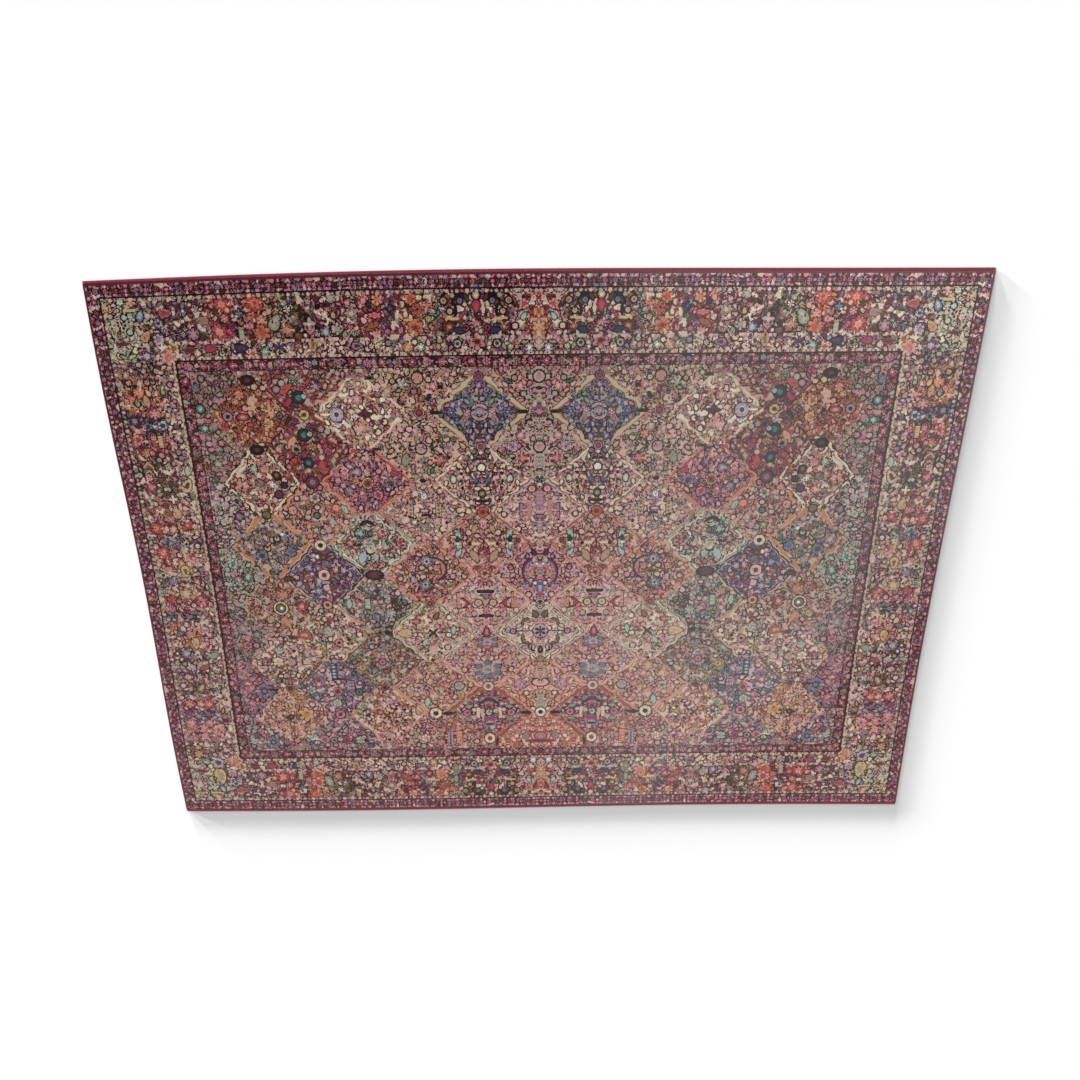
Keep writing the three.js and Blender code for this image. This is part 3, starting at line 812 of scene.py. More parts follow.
# The panels' own motifs, with places from the panel's middle
MOTIFS = """
panel fold form x y size yarns turn width
A0 = leaf 130 -20 20 pine/teal 30
A0 = rosette 80 -40 20 crimson/rose/blush
A0 = bud 64 -24 13 orange/salmon 60
A0 = leaf 40 -66 18 lilac/mauve 60
A0 . braid 0 -82 26 sage/stone 90 .4
A0 = disc 36 -106 9 ink/sage
A0 + disc 50 6 7 pine
A0 . disc 0 -2 25 ink/stone/rose
A2 . rosette 0 92 22 mint/sage/stone
A2 = arc 42 100 16 ink/sage 60
A2 = rosette 80 46 20 crimson/rose/blush
A2 = rosette 70 -54 23 crimson/red/rose
A2 = rosette 116 -2 25 slate/lilac/rose/navy
A2 . braid 0 -66 34 sage/stone 90 .4
A2 = arc 36 -104 12 ink/sage 30
A2 = disc 118 48 7 ink
A2 = disc 112 -54 7 ink
A2 + disc 50 6 7 pine
A2 . disc 0 -2 25 ink/stone/rose
A4 = arc 46 90 44 mauve/slate 60
A4 = disc 34 106 16 crimson/blush/rose
A4 = star 106 62 19 cream/blush
A4 = chevron 120 64 9 umber 0
A4 . braid 0 34 62 mauve/stone/rose 90 .26
A4 = braid 46 10 46 tan/rose 90 .18
A4 = braid 82 0 38 mauve/rose 90 .16
A4 . braid 0 -72 28 mauve/stone 90 .4
A4 = rosette 40 -96 14 rose/blush
A4 . bar 0 -2 4 blush 90 4.4
A4 . bar 0 -14 4 ink 90 4.6
A6 = bud 56 114 17 mauve/lilac 20
A6 = bud 28 104 16 ink/maroon 70
A6 = arc 26 4 58 plum/mauve 0 1.3
A6 . bar 0 24 8 crimson/rose 90 3.4
A6 . bar 0 -26 8 crimson/rose 90 3.2
A6 = bar 44 -4 9 orange/tan 90 1.6
A6 . bar 0 -2 9 sage/teal 90 1.8
A6 . bud 0 -78 30 mauve/blue/lilac -90
A6 = rosette 60 -62 18 lilac/plum/rose
A6 . rosette 0 -114 18 rose/crimson
A6 = disc 14 46 9 slate/ivory
A6 = disc 24 -50 12 ink/sky/ivory
A8 = bud 24 92 20 umber/olive 60
A8 . disc 2 0 36 blush/lilac/stone
A8 + arc 62 42 26 olive/umber 45
A8 + disc 84 26 7 ink/rose
A8 = disc 128 0 13 plum/lilac/mauve
A8 = bar 80 0 4 umber 90 6
A8 . bar 0 52 14 blush/rose 90 .4
A8 . bud 2 -98 19 forest/ink/leaf
A8 = arc 28 -90 15 ink/cream -30
A8 . rosette 2 0 25 maroon/ink/plum
A10 . rosette 0 118 24 sand/tan 90 1.2
A10 . rosette 0 62 32 blush/stone/rose
A10 . disc 0 20 22 rose/blush/salmon 90 1.8
A10 = rosette 98 10 32 mauve/rose/lilac
A10 . braid 0 -86 40 stone/sage 90 .4
A10 = rosette 42 -60 16 rose/salmon
A10 = bud 88 -72 22 orange/salmon 60
A10 = leaf 44 -100 18 rust/tan 60
A12 = rosette 52 60 16 orange/salmon
A12 = disc 74 10 16 rose/sage/taupe
A12 . disc 0 10 18 salmon/sage/rose 90 1.5
A12 . bar 0 34 6 crimson/red 90 10
A12 . bar 0 -18 8 crimson/maroon 90 9
B1 . rosette 0 112 17 plum/magenta/lilac
B1 = rosette 32 94 13 mauve/lilac/plum
B1 . star 0 68 17 navy/plum
B1 . star 0 -64 17 navy/plum
B1 + leaf 52 46 18 teal/sage 45
B1 + disc 96 30 9 navy/slate
B1 + leaf 84 66 16 pine/teal 130
B1 = rosette 118 0 21 navy/blue/navy/lilac
B1 = rosette 54 0 17 rose/blush/crimson/ivory
B1 = rosette 34 -108 16 plum/magenta/lilac
B1 : arc 0 10 26 stone/rose 90 1.3
B1 . rosette 0 0 18 stone/slate/sky/mauve 90 1.4
B3 = bud 40 104 13 ink/cream
B3 . bar 0 94 6 ink/maroon 90 4.4
B3 = chevron 50 30 13 maroon/ink 20
B3 = rosette 26 -2 22 slate/pine/blue
B3 = disc 54 -34 12 red/maroon
B3 = disc 88 30 8 ink
B3 = disc 91 -4 7 ink
B3 = disc 86 -36 8 ink
B3 = disc 124 4 20 ink/mint/cream 90 .7
B3 = bud 100 -50 11 salmon/red 0
B3 . bar 0 -98 6 ink 90 4.6
B3 = disc 34 -90 9 ink/umber
B3 . disc 0 -64 16 ink/olive/sage
B3 . disc 0 56 18 ink/ivory
B5 = leaf 44 -62 36 olive/tan 60
B5 = leaf 40 70 26 olive/tan 110
B5 = leaf 116 46 26 teal/mint 60
B5 = leaf 116 -46 26 teal/sky -60
B5 = star 118 0 34 pine/mint/ivory 90 .6
B5 = bud 118 22 13 forest/pine
B5 = rosette 90 84 15 crimson/rose
B5 . rosette 0 104 20 crimson/rose/blush
B5 . rosette 0 32 14 crimson/rose
B5 . rosette 0 -30 15 crimson/maroon
B5 = bar 36 -2 5 cream 90 3.6
B5 = disc 62 -2 9 ink
B5 = braid 82 -108 40 salmon/blush 50 .26
B7 = braid 126 14 40 orange/salmon 90 .2
B7 = braid 104 -20 40 sage/cream 90 .15
B7 = rosette 20 98 16 maroon/crimson/rose
B7 = disc 58 60 11 sky/slate
B7 . bar 0 60 9 ink/navy/pine 90 4.6
B7 . bar 0 40 7 plum/mauve 90 3.8
B7 = chevron 88 0 25 maroon/crimson 180
B7 = disc 34 2 17 olive/blush/sage
B7 . rosette 0 4 12 tan/sand
B7 . rosette 0 -32 15 magenta/rose
B7 = disc 100 60 8 umber/tan
B7 = disc 100 -60 8 umber/rose
B7 . bar 0 -66 8 ink/navy 90 4.4
B7 . rosette 0 -98 22 crimson/salmon/rose
B9 . braid 2 18 50 slate/stone/rose 90 .2
B9 . rosette 2 92 40 slate/slate/stone/slate 90 1.3
B9 . rosette 2 -56 50 slate/slate/stone/slate 90 1.4
B9 . rosette 2 -56 12 slate/sky/blue
B9 . bar 0 68 8 crimson/rose 90 3.2
B9 . rosette 2 38 13 crimson/blush
B9 = rosette 68 12 15 crimson/rose/blush
B9 = rosette 96 -12 22 orange/tan/salmon
B9 = disc 90 58 8 umber/tan
B9 = disc 92 -68 9 umber/olive
B11 = rosette 34 76 17 plum/lilac/mauve
B11 . arc 0 44 32 umber/slate 90 1.3
B11 . bar 0 -66 8 slate/ink 90 4.4
B11 = braid 54 0 30 cream/blush 90 .22
B11 = disc 108 0 19 magenta/rose/crimson
B11 = leaf 102 -38 22 leaf/sage 10
B11 = leaf 98 36 22 slate/sage -10
B11 . rosette 0 34 13 crimson/rose/maroon 90 1.9
B11 . bar 0 -34 12 crimson/magenta 90 2.2
B11 . disc 0 2 19 plum/mint/sage 90 .9
C0 . rosette 66 -38 20 crimson/rose/blush
C0 . rosette -70 -30 17 teal/sage/mint
C0 . disc 96 -40 8 ink
C0 . leaf 44 -84 16 ink/pine 60
C0 = disc 50 6 7 pine
C0 . disc 0 -4 24 maroon/tan/rose
C2 . rosette 60 48 20 orange/salmon
C2 . rosette 78 -58 24 crimson/red/rose
C2 . rosette 118 -2 24 teal/rose/slate
C2 . leaf -70 -56 34 leaf/sage 80
C2 . disc 110 48 9 pine/teal
C2 . disc 118 -48 8 ink
C2 . leaf 44 -104 17 forest/teal 60
C2 . leaf -40 -104 15 olive/sage 120
C2 + disc 48 10 7 pine
C2 . disc 0 -6 24 maroon/stone/rose
C4 . rosette 0 76 26 lilac/slate/ivory/rose
C4 . rosette -60 48 18 mauve/plum/rose
C4 . star 110 66 17 cream/blush
C4 = braid 62 10 30 sand/tan/olive 90 .4
C4 . bar 0 10 10 maroon/rose/blush 90 2.6
C4 . bar 4 -12 6 ink 90 3.2
C4 . rosette -48 -44 18 pine/sage/ivory
C4 . rosette 52 -40 18 rose/blush
C4 . disc 96 -48 8 ink
C4 . rosette 0 -72 20 stone/slate 90 1.2
C4 . disc -68 -18 8 ink
C6 . rosette -4 64 31 navy/slate/lilac/ink
C6 . rosette 40 30 18 crimson/rose
C6 . bar 0 6 10 olive/umber 90 3
C6 . rosette -16 -52 31 navy/teal/lilac/pine
C6 . rosette 60 -34 24 plum/magenta/lilac
C6 . rosette -66 -26 18 plum/lilac
C6 . arc 20 24 72 umber/rose 10 .9
C6 . rosette -46 -102 24 red/crimson/rose
C6 . leaf 44 -96 22 taupe/sage 120
C8 . bud -126 -4 36 orange/sand/gold 180
C8 . rosette -70 58 19 crimson/red/rose
C8 . rosette 136 -6 15 crimson/rose
C8 . bud 28 86 19 umber/rust 60
C8 . leaf 104 10 26 teal/mint 80
C8 . leaf -30 -52 24 sage/mint 60
C8 . rosette 42 56 16 rose/salmon
C8 . rosette -66 -50 15 crimson/rose
C8 = twig 40 -90 24 umber/olive 60
C8 = bar 60 -2 3 umber 90 12
C8 . star 8 -4 24 ink/umber 45
C10 . rosette 0 104 28 sand/tan/gold
C10 . rosette 92 56 23 crimson/rose/salmon
C10 . rosette 72 -36 21 crimson/rose/maroon
C10 . bud 128 -40 24 gold/tan -60
C10 . disc 120 4 24 slate/stone/sage
C10 . rosette -76 -4 24 stone/blush/slate/ink
C10 . leaf -38 -84 30 leaf/mint 80
C10 . rosette -20 30 20 taupe/blush
C12 . braid 66 0 40 mauve/lilac/plum 90 .3
C12 . braid 112 10 36 orange/salmon 90 .4
C12 . rosette -56 6 24 stone/cream/rose
C12 . rosette 20 -20 22 crimson/rose
C12 . disc -10 60 12 maroon/rose
D1 . rosette -96 36 20 lilac/stone/ivory
D1 . rosette -96 -40 20 lilac/ivory/stone
D1 . disc -98 -2 30 lilac/lilac/ivory
D1 . disc -98 -2 11 ink/plum
D1 . disc -86 30 7 maroon/plum
D1 . disc -86 -34 7 maroon/plum
D1 . bar -144 0 4 ivory 90 5
D1 . rosette -6 62 24 salmon/rose/blush
D1 . rosette -2 -62 28 rose/salmon/blush
D1 . disc 20 68 8 maroon
D1 . disc 52 34 9 maroon/umber
D1 . disc 90 34 9 maroon/umber
D1 . disc 54 -36 9 maroon/umber
D1 . disc 92 -34 9 maroon/umber
D1 . bud 60 76 10 umber/maroon 150
D1 . bud 60 -78 10 umber/maroon 30
D1 . leaf 22 -2 32 umber/maroon 0 .8
D1 . leaf 22 -2 26 umber/maroon 90 .8
D3 . rosette -36 44 22 navy/mauve/lilac
D3 . rosette 36 72 22 navy/plum/mauve
D3 . rosette 110 -10 30 slate/mauve/plum
D3 . rosette 72 66 16 crimson/rose
D3 . bud 130 34 19 crimson/red 0
D3 . rosette 50 -62 24 magenta/rose/crimson
D3 . rosette -46 -4 18 orange/red/gold
D3 . disc -68 -4 9 ink/rust
D3 . rosette -78 -44 22 plum/slate
D3 . rosette -90 30 22 maroon/rose
D3 . rosette 0 -108 22 plum/magenta/mauve
D3 . disc 8 -8 24 cream/rust/maroon
D5 . rosette -46 56 28 pine/teal/mint
D5 . arc -14 84 32 ink/umber
D5 . rosette -98 10 19 maroon/red/salmon
D5 . rosette 128 6 19 maroon/red/crimson
D5 . disc -58 0 10 maroon/ink
D5 . bar -14 2 10 mint/taupe 90 2.4
D5 . rosette 94 -32 20 magenta/plum/rose
D5 . rosette 54 62 20 rose/blush/crimson
D5 . leaf -46 -62 34 mint/sky 70
D5 . rosette 10 -60 20 sage/mint
D5 . rosette 40 -96 15 maroon/rose
D7 . rosette 40 56 26 sky/stone/slate
D7 . rosette -84 48 18 rose/salmon
D7 . rosette -84 2 20 rose/crimson/blush
D7 . leaf -130 4 28 leaf/mint
D7 . braid -44 0 26 sage/mint 90 .5
D7 . rosette -10 -66 22 navy/slate
D7 . disc 4 68 11 ink/navy
D7 . tree 112 -4 34 forest/pine 0
D7 . rosette 60 -50 24 sky/stone/mint
D7 . star 80 20 19 ink/forest 45
D9 . rosette 14 72 28 lilac/mauve/taupe
D9 . rosette -98 -38 32 gold/olive/gold/rust
D9 . rosette -96 30 20 olive/sage/forest
D9 . rosette -38 -52 19 navy/slate
D9 . rosette 60 20 20 taupe/rust
D9 . rosette 52 -50 20 forest/taupe
D9 . rosette 0 -8 34 cream/mauve/lilac
D9 . disc 0 -8 16 crimson/rose/crimson
D9 . disc 46 138 9 ink/maroon
D11 . braid -108 46 50 mint/leaf 50 .18
D11 . braid -104 -62 46 cream/mint -50 .18
D11 . rosette -90 -6 30 mint/cream/lilac
D11 . rosette -86 0 19 magenta/rose/plum
D11 . disc -94 -8 9 ink
D11 . disc 46 28 9 ink
D11 . disc 86 22 9 ink
D11 . disc 46 -44 9 ink
D11 . disc 86 -38 9 ink
D11 . disc 114 -8 8 ink/olive
D11 . rosette 16 72 20 mauve/blush/rose
D11 . rosette 30 -92 22 rust/salmon
D11 . braid 130 2 32 cream/sage 90 .24
D11 . star 0 -10 20 ink/umber 45
E0 . rosette 4 -6 22 sage/olive/stone
E0 . rosette -36 -4 13 teal/mint/pine
E0 . disc -104 -40 16 plum/mauve/rose
E0 . leaf -66 -40 32 orange/red 40 .8
E0 . disc -14 -76 27 ink/pine/teal
E0 . disc 8 -72 12 pine/sky
E0 . rosette 62 -30 20 slate/navy/rose
E0 . leaf -60 -96 26 maroon/crimson 60
E0 . disc -44 -116 11 ink/maroon
E2 . leaf -68 30 34 red/salmon 60
E2 . rosette 66 40 20 plum/crimson
E2 . disc -12 62 27 ink/pine/teal
E2 . disc 12 66 13 pine/sky
E2 . rosette 20 10 17 gold/tan/rust
E2 . rosette -52 0 24 olive/sage/ink
E2 . disc 84 -12 14 mauve/crimson
E2 . disc -66 -50 13 crimson/red
E2 . disc -6 -62 24 ink/navy/teal 90 .9
E2 . leaf 52 -80 34 crimson/red
E2 . disc 54 -38 11 salmon/blush
E2 . disc -8 -96 12 olive/gold
E4 . rosette 0 76 26 slate/blush/teal
E4 . rosette 90 28 30 orange/red/salmon
E4 . leaf 128 22 26 leaf/mint 120
E4 . disc -64 36 10 ink/rust
E4 . disc -86 -18 10 ink/rust
E4 . disc -58 -56 10 ink/rust
E4 . rosette -104 20 22 red/salmon
E4 . disc 2 -6 14 pine/teal
E4 . rosette 44 -72 20 lilac/rose/stone
E4 . rosette -10 -74 20 sage/forest/mint
E4 . rosette -40 -104 14 orange/salmon
E6 . rosette -66 42 22 navy/blue/lilac
E6 . disc -22 94 10 lilac/ivory
E6 . rosette -70 -10 17 salmon/orange/rust
E6 . rosette 92 24 26 plum/navy/lilac
E6 . rosette 60 70 22 plum/navy/rose
E6 . rosette 86 -60 26 plum/magenta/navy
E6 . rosette -32 -78 25 navy/slate/lilac
E6 . rosette 46 8 18 rust/orange/maroon
E6 . rosette -60 -56 17 pine/sage
E6 . rosette 10 60 18 mauve/slate
E6 . rosette 14 -112 18 plum/rose
E6 . disc 0 2 26 cream/blush/maroon
E8 . bud -128 -8 34 orange/rust/salmon 180
E8 . rosette -66 48 20 gold/sand/olive
E8 . rosette 4 72 18 rust/crimson
E8 . rosette 60 56 18 taupe/blush
E8 . rosette -10 10 28 slate/stone/mint
E8 . rosette -44 -40 16 ink/mint/pine
E8 . disc 30 20 9 ink/taupe
E8 . disc 80 -34 9 ink
E8 . disc 34 -50 18 salmon/rose/ink
E8 . rosette 100 16 20 rose/blush
E8 . rosette -30 -92 20 gold/olive
E10 . braid -8 92 42 navy/teal/sky 90 .34
E10 . rosette -88 22 22 rose/crimson/blush
E10 . rosette -128 -8 26 teal/sky/sage
E10 . braid 70 12 28 plum/lilac/mauve 90 .5
E10 . disc 104 -24 17 pine/teal/navy
E10 . rosette 50 -60 18 plum/mauve
E10 . rosette -8 -84 24 teal/mint/sage
E10 . rosette -60 -62 18 crimson/rose
E10 . disc 0 -18 20 blush/crimson/maroon
E12 . rosette 14 54 17 navy/slate/lilac
E12 . star -138 6 32 teal/mint/ivory
E12 . rosette -94 4 26 crimson/rose/magenta
E12 . disc -46 0 17 forest/sage/forest
E12 . bud 14 0 24 magenta/crimson/plum -90
E12 . rosette 84 -2 25 teal/mint/sage
E12 . disc 110 -4 9 ink
F1 . rosette -44 88 22 red/salmon/orange
F1 . rosette -44 -88 22 red/salmon/rust
F1 . rosette 62 34 24 orange/gold/rust
F1 . rosette 66 -34 24 rust/gold/orange
F1 . disc -104 -2 20 taupe/mauve/ink
F1 . disc -40 -6 14 crimson/rust/salmon 90 1.8
F1 . disc 8 -6 10 pine/ink
F1 . disc 30 -40 7 ink
F1 . disc 30 30 7 ink
F1 . disc 90 54 8 ink/red
F1 . disc 92 -46 8 ink/red
F1 . disc 116 -2 13 ink/slate/pine
F1 . disc -84 44 8 ink/pine
F1 . disc -80 -50 8 ink/pine
F1 . braid 128 60 62 ink/maroon/crimson -47 .14
F1 . braid 112 -82 62 ink/ink/umber 47 .16
F1 . bar 150 -22 15 ink/pine 60 .5
F3 . rosette -112 -2 28 red/salmon/rose
F3 . disc -120 -4 11 ink/umber
F3 . rosette -30 64 22 forest/sage/mint
F3 . rosette 22 62 22 red/salmon/rose
F3 . disc 68 34 17 ink/umber/olive
F3 . disc 96 -12 14 ink/pine
F3 . disc 68 -54 18 ink/plum/maroon
F3 . star 46 -8 18 lilac/ivory
F3 . rosette 0 -62 22 red/salmon/blush
F3 . disc -50 -10 10 red/maroon
F3 . rosette -40 -66 14 forest/sage
F3 . rosette -10 0 20 slate/taupe
F5 . rosette 36 104 20 plum/mauve/lilac
F5 . rosette 80 62 20 slate/sky/pine
F5 . rosette -98 0 27 rose/mauve/sand
F5 . rosette -46 -48 30 ink/slate/navy
F5 . rosette 88 -30 26 navy/slate/blue
F5 . rosette -50 44 24 umber/taupe/slate
F5 . disc 56 56 9 cream/ivory
F5 . disc -18 -6 7 ink
F5 . disc 18 14 7 ink
F5 . rosette 136 14 19 pine/teal
F5 . rosette 10 -96 20 sage/stone
F7 . rosette 20 56 30 rust/orange/tan
F7 . rosette -48 62 18 maroon/red/rust
F7 . rosette 104 -6 28 maroon/crimson/salmon
F7 . rosette -96 20 20 taupe/sand
F7 . rosette -46 -72 20 olive/gold/sage
F7 . rosette 24 -84 30 rust/orange/tan
F7 . disc 6 -14 34 sage/cream/olive
F7 . disc 6 -14 22 umber/olive
F7 . disc 10 -14 8 ivory
F9 . rosette -40 -2 28 salmon/cream/blush
F9 . rosette 22 -2 26 maroon/sage/rose
F9 . rosette -96 4 20 rose/maroon
F9 . disc 40 58 9 maroon/ink
F9 . disc 70 20 8 forest/mint
F9 . braid 100 -4 22 stone/blush 0 .5
F9 . rosette -30 62 20 stone/mint
F9 . disc -36 -60 11 umber/maroon
F9 . disc 30 -64 10 forest/mint
F9 . rosette 10 -96 18 rose/crimson
F9 . braid 110 -66 84 umber/olive 50 .08
F11 . rosette 62 2 42 olive/gold/orange
F11 . rosette -60 50 24 rose/salmon/tan
F11 . rosette -60 -56 24 salmon/rose
F11 . rosette -70 0 18 stone/sand
F11 . bar 16 -6 6 umber/olive 90 4
F11 . rosette 90 -66 20 orange/sand
F11 . disc -14 -12 13 ink/umber/rust
G0 . rosette -6 -26 22 pine/teal/slate
G0 . rosette 76 -16 18 maroon/plum
G0 . disc 0 -116 20 pine/teal/mint
G2 . rosette 6 98 22 pine/teal/mint
G2 . rosette 88 4 18 maroon/rose/sage
G2 . rosette 40 -60 20 forest/sage/mint
G2 . braid 104 30 72 olive/gold/sage -50 .09
G4 . rosette 94 -6 25 ink/plum/mauve
G4 . rosette 26 -30 20 forest/mint/sage
G4 . rosette 40 50 20 slate/lilac/stone
G4 . rosette 60 -80 17 rose/salmon
G6 . rosette 34 64 26 sage/mint/teal
G6 . rosette 96 -2 28 forest/teal/mint
G6 . rosette 40 -50 24 sage/mint/forest
G6 . rosette 30 14 20 plum/rose
G8 . rosette 36 30 28 sage/slate/stone
G8 . rosette 98 -2 22 forest/teal/sage
G8 . rosette 46 -60 24 maroon/rose/crimson
G8 . rosette 0 -90 18 sage/forest
G10 . rosette 96 -12 46 plum/slate/navy/mauve
G10 . bar 140 -4 5 ink 90 5
G10 . rosette 20 30 24 rose/crimson/blush
G10 . rosette 30 -80 20 rust/rose
G12 . rosette 104 -8 38 plum/slate/navy/mauve
G12 . rosette 50 56 20 maroon/rose
G12 . rosette 10 0 20 stone/mint
"""

# What stands on the narrow necks between the panels, and on some of their tips
NECKS = """
panel fold form x y size yarns turn width
A1 . rosette 0 0 24 mauve/plum/rose 90 1.2
A3 . star 0 0 26 mint/pine/teal 45
A5 . star 0 0 22 orange/tan/gold
A7 . rosette 0 0 20 cream/olive/ink
A9 . disc 0 0 16 sand/rust/tan
A11 . disc 0 0 26 stone/ivory/ink
B0 . disc 0 0 17 mauve/plum/crimson
B2 . disc 0 0 17 blush/plum/crimson
B4 . disc 0 0 22 orange/red/umber
B6 . rosette 0 0 26 rust/salmon/maroon
B8 . bud 0 0 26 maroon/crimson/rose
B10 . disc 0 0 26 stone/blush/olive
B12 . disc 0 0 30 rose/cream/crimson 90 .9
C1 . disc 0 0 20 blush/maroon/crimson
C3 . disc 0 0 10 ink 90 1.5
C5 . rosette 0 0 22 salmon/rust/orange
C7 . disc 0 0 18 salmon/maroon/red
C9 . disc 0 0 12 tan/umber/ink
C11 . disc 0 0 30 sage/cream/ink
D4 . rosette 0 0 20 mauve/rose/salmon
D6 . disc 0 0 22 ink/umber/plum 90 1.7
D8 . disc 0 0 11 rust/ink
D10 . disc 0 0 16 orange/umber/ink
D12 . disc 0 0 12 sand/ink
E1 . disc 0 0 22 orange/gold/forest
E3 . disc 0 0 28 ink/plum/taupe
E5 . disc 0 0 26 blush/cream/ink
E7 . disc 0 0 22 olive/salmon/maroon
E9 . rosette 0 0 18 navy/mauve/lilac
E11 . disc 0 0 24 plum/rose/maroon
F0 . disc 0 0 20 ink/ink/maroon 90 1.4
F2 . disc 0 0 20 ink/ink/umber 90 1.4
F4 . disc 0 0 18 forest/olive
F6 . rosette 0 0 18 stone/pine/sage
F8 . rosette 0 0 18 taupe/sage/rose
F10 . disc 0 0 20 salmon/umber/maroon 90 .9
F12 . rosette 0 0 28 blush/ink/rose
B1 . bud -182 0 24 umber/ink 0 .5
B1 . bud 182 0 24 umber/ink 180 .5
B11 . bud -196 -2 28 umber/ink 0 .5
B11 . bud 178 -2 26 umber/ink 180 .5
D0 . bar 54 0 7 umber/ink 90 3
D2 . bar 60 -4 7 umber/ink 90 3
E6 . bud -160 -14 26 ink/umber 0 .7
E8 . bud -176 -20 22 rust/umber 0 .7
C8 . bud -200 0 16 umber/ink 0 .8
"""


def column_at(column, y):
    near, far = COLUMNS[column]
    return near + (far - near) * np.clip(0.5 - y / (LAST_ROW * ROW), 0, 1)


def row_at(row):
    return FIRST_ROW - ROW * row


def panel_depth(chart, column, row):
    """How deep each tuft lies in a panel, under 0 outside it."""
    letters = sorted(COLUMNS)
    number = letters.index(column)
    y = chart.y[:, None]
    x = chart.x[None] + SIDE_STEPS * chart.patches + SIDE_WAVES * np.sin(2 * np.pi * y / SIDE_WAVE_LENGTH)
    away = np.abs(y - row_at(row)) / ROW
    # The first and the last panels run on to the border at their full width
    runs_on = ((row == 0) & (y > row_at(0))) | ((row == LAST_ROW) & (y < row_at(LAST_ROW)))
    away = np.where(runs_on, 0, away)
    middle = column_at(column, y)
    left = middle - (column_at(letters[number + 1], y) if number + 1 < len(letters) else middle - OUTER_ROOM)
    right = (column_at(letters[number - 1], y) if number else MIDDLE_ROOM) - middle
    across = x - middle
    room = np.where(across < 0, left, right)
    wide = room - NECK - (room - 2 * NECK) * (away - CURVE * np.sin(2 * np.pi * away))
    return np.where(away <= 1, LEAN * (wide - np.abs(across)), -1)


def weave_field(chart):
    """The ground between the panels, then each panel with its motifs and its outline, and the necks last."""
    field = chart.depth > INNER_GUARD
    chart.open = field
    chart.fill((0, 0), (0, 0, 0, 0), FIELD_GROUND, FIELD_SHARE, FIELD_MIX, FIELD_DEEP, ".")
    motifs = rows_of(MOTIFS)
    for name, ground, dark, light, middle, *bands in rows_of(GROUNDS):
        column, row = name[0], int(name[1:])
        x0, y0 = column_at(column, row_at(row)), row_at(row)
        depth = panel_depth(chart, column, row)
        chart.open = field & (depth > 0)
        share = np.clip(0.5 + (y0 - chart.y[:, None]) / (2 * ROW), *TIP_SHARES)
        fold = "=" if column in "AB" else "."
        box = (0 if fold == "=" else -SOWN_REACH, SOWN_REACH, -ROW, ROW)
        chart.fill((x0, y0), box, ground, share, (dark, light, middle), FIELD_DEEP, fold)
        chart.veil(dark, light, FIELD_VEIL)
        chart.motifs(x0, y0, [motif for panel, *motif in motifs if panel == name])
        edge = 0
        for band in bands:
            yarn, width = band.split("-")
            inside = (depth >= edge) & (depth < edge + float(width))
            chart.lay(EVERYWHERE, inside & (chart.vines > BAND_GAPS), yarn)
            edge += float(width)
    chart.open = field
    for name, *motif in rows_of(NECKS):
        y0 = row_at(int(name[1:]))
        chart.motifs(column_at(name[0], y0), y0, [motif])


def weave_borders(chart):
    """The stretches' grounds, the bands and the motifs on them, and what is strung along the bands last."""
    beside = np.broadcast_to(chart.side_depth < MAIN_BORDER, chart.cells.shape)
    uneven = STRETCH_UNEVEN * chart.patches
    for start, end, ground, *mix in rows_of(SIDE_STRETCHES):
        start, end = float(start), float(end)
        last = PAST_MIDDLE * (end == 0)
        chart.open = beside & (chart.x + uneven >= start) & (chart.x + uneven < end + last)
        share = np.where(chart.y[:, None] > 0, *SIDE_SHARES)
        box = (start, min(end + 1, 0), EDGE[1] - MAIN_BORDER, EDGE[1])
        chart.fill((0, 0), box, ground, share, mix, BORDER_DEEP, ":")
    inner = MAIN_BORDER * END_DEEPER - EDGE[0]
    for start, end, ground, *mix in rows_of(END_STRETCHES):
        start, end = float(start), float(end)
        away = np.abs(chart.y[:, None] + uneven - (start + end) / 2)
        chart.open = ~beside & (away < (start - end) / 2) & (chart.x < inner)
        chart.fill((0, 0), (-EDGE[0], inner, end, start), ground, 0.5, mix, BORDER_DEEP, ".")
    outer_guard, beaded, inner_guard = rows_of(BANDS)
    weave_band(chart, *outer_guard)
    weave_band(chart, *beaded)
    chart.open = chart.depth < MAIN_BORDER
    chart.veil("ink/umber/maroon", "blush/stone/cream", BORDER_VEIL)
    chart.motifs(CLUSTER_X, 0, rows_of(CLUSTER))
    chart.motifs(0, 0, rows_of(BORDER_MOTIFS))
    weave_band(chart, *inner_guard)
    chart.open = chart.depth < INNER_GUARD + STRUNG_PAST
    for depth, step, form, size, *yarns in rows_of(STRINGS):
        string_along(chart, float(depth), float(step), form, float(size), yarns)
    for start, end, yarn in LINES:
        chart.lay(EVERYWHERE, (chart.depth >= start) & (chart.depth < end), yarn)


def weave_band(chart, start, end, ground, dark, light, middle, deep):
    """A band's ground: all round the rug, mirrored from side to side, and then along its end once more."""
    start, end, deep = float(start), float(end), float(deep)
    mix = (dark, light, middle)
    chart.open = (chart.depth >= start) & (chart.depth < end)
    box = (-EDGE[0] + start, 0, EDGE[1] - end, EDGE[1] - start)
    chart.fill((0, 0), box, ground, BAND_SHARE, mix, deep, ":")
    chart.open &= chart.side_depth > end
    box = (-EDGE[0] + start, -EDGE[0] + END_DEEPER * end, -EDGE[1] + end, EDGE[1] - end)
    chart.fill((0, 0), box, ground, BAND_SHARE, mix, deep, ".")


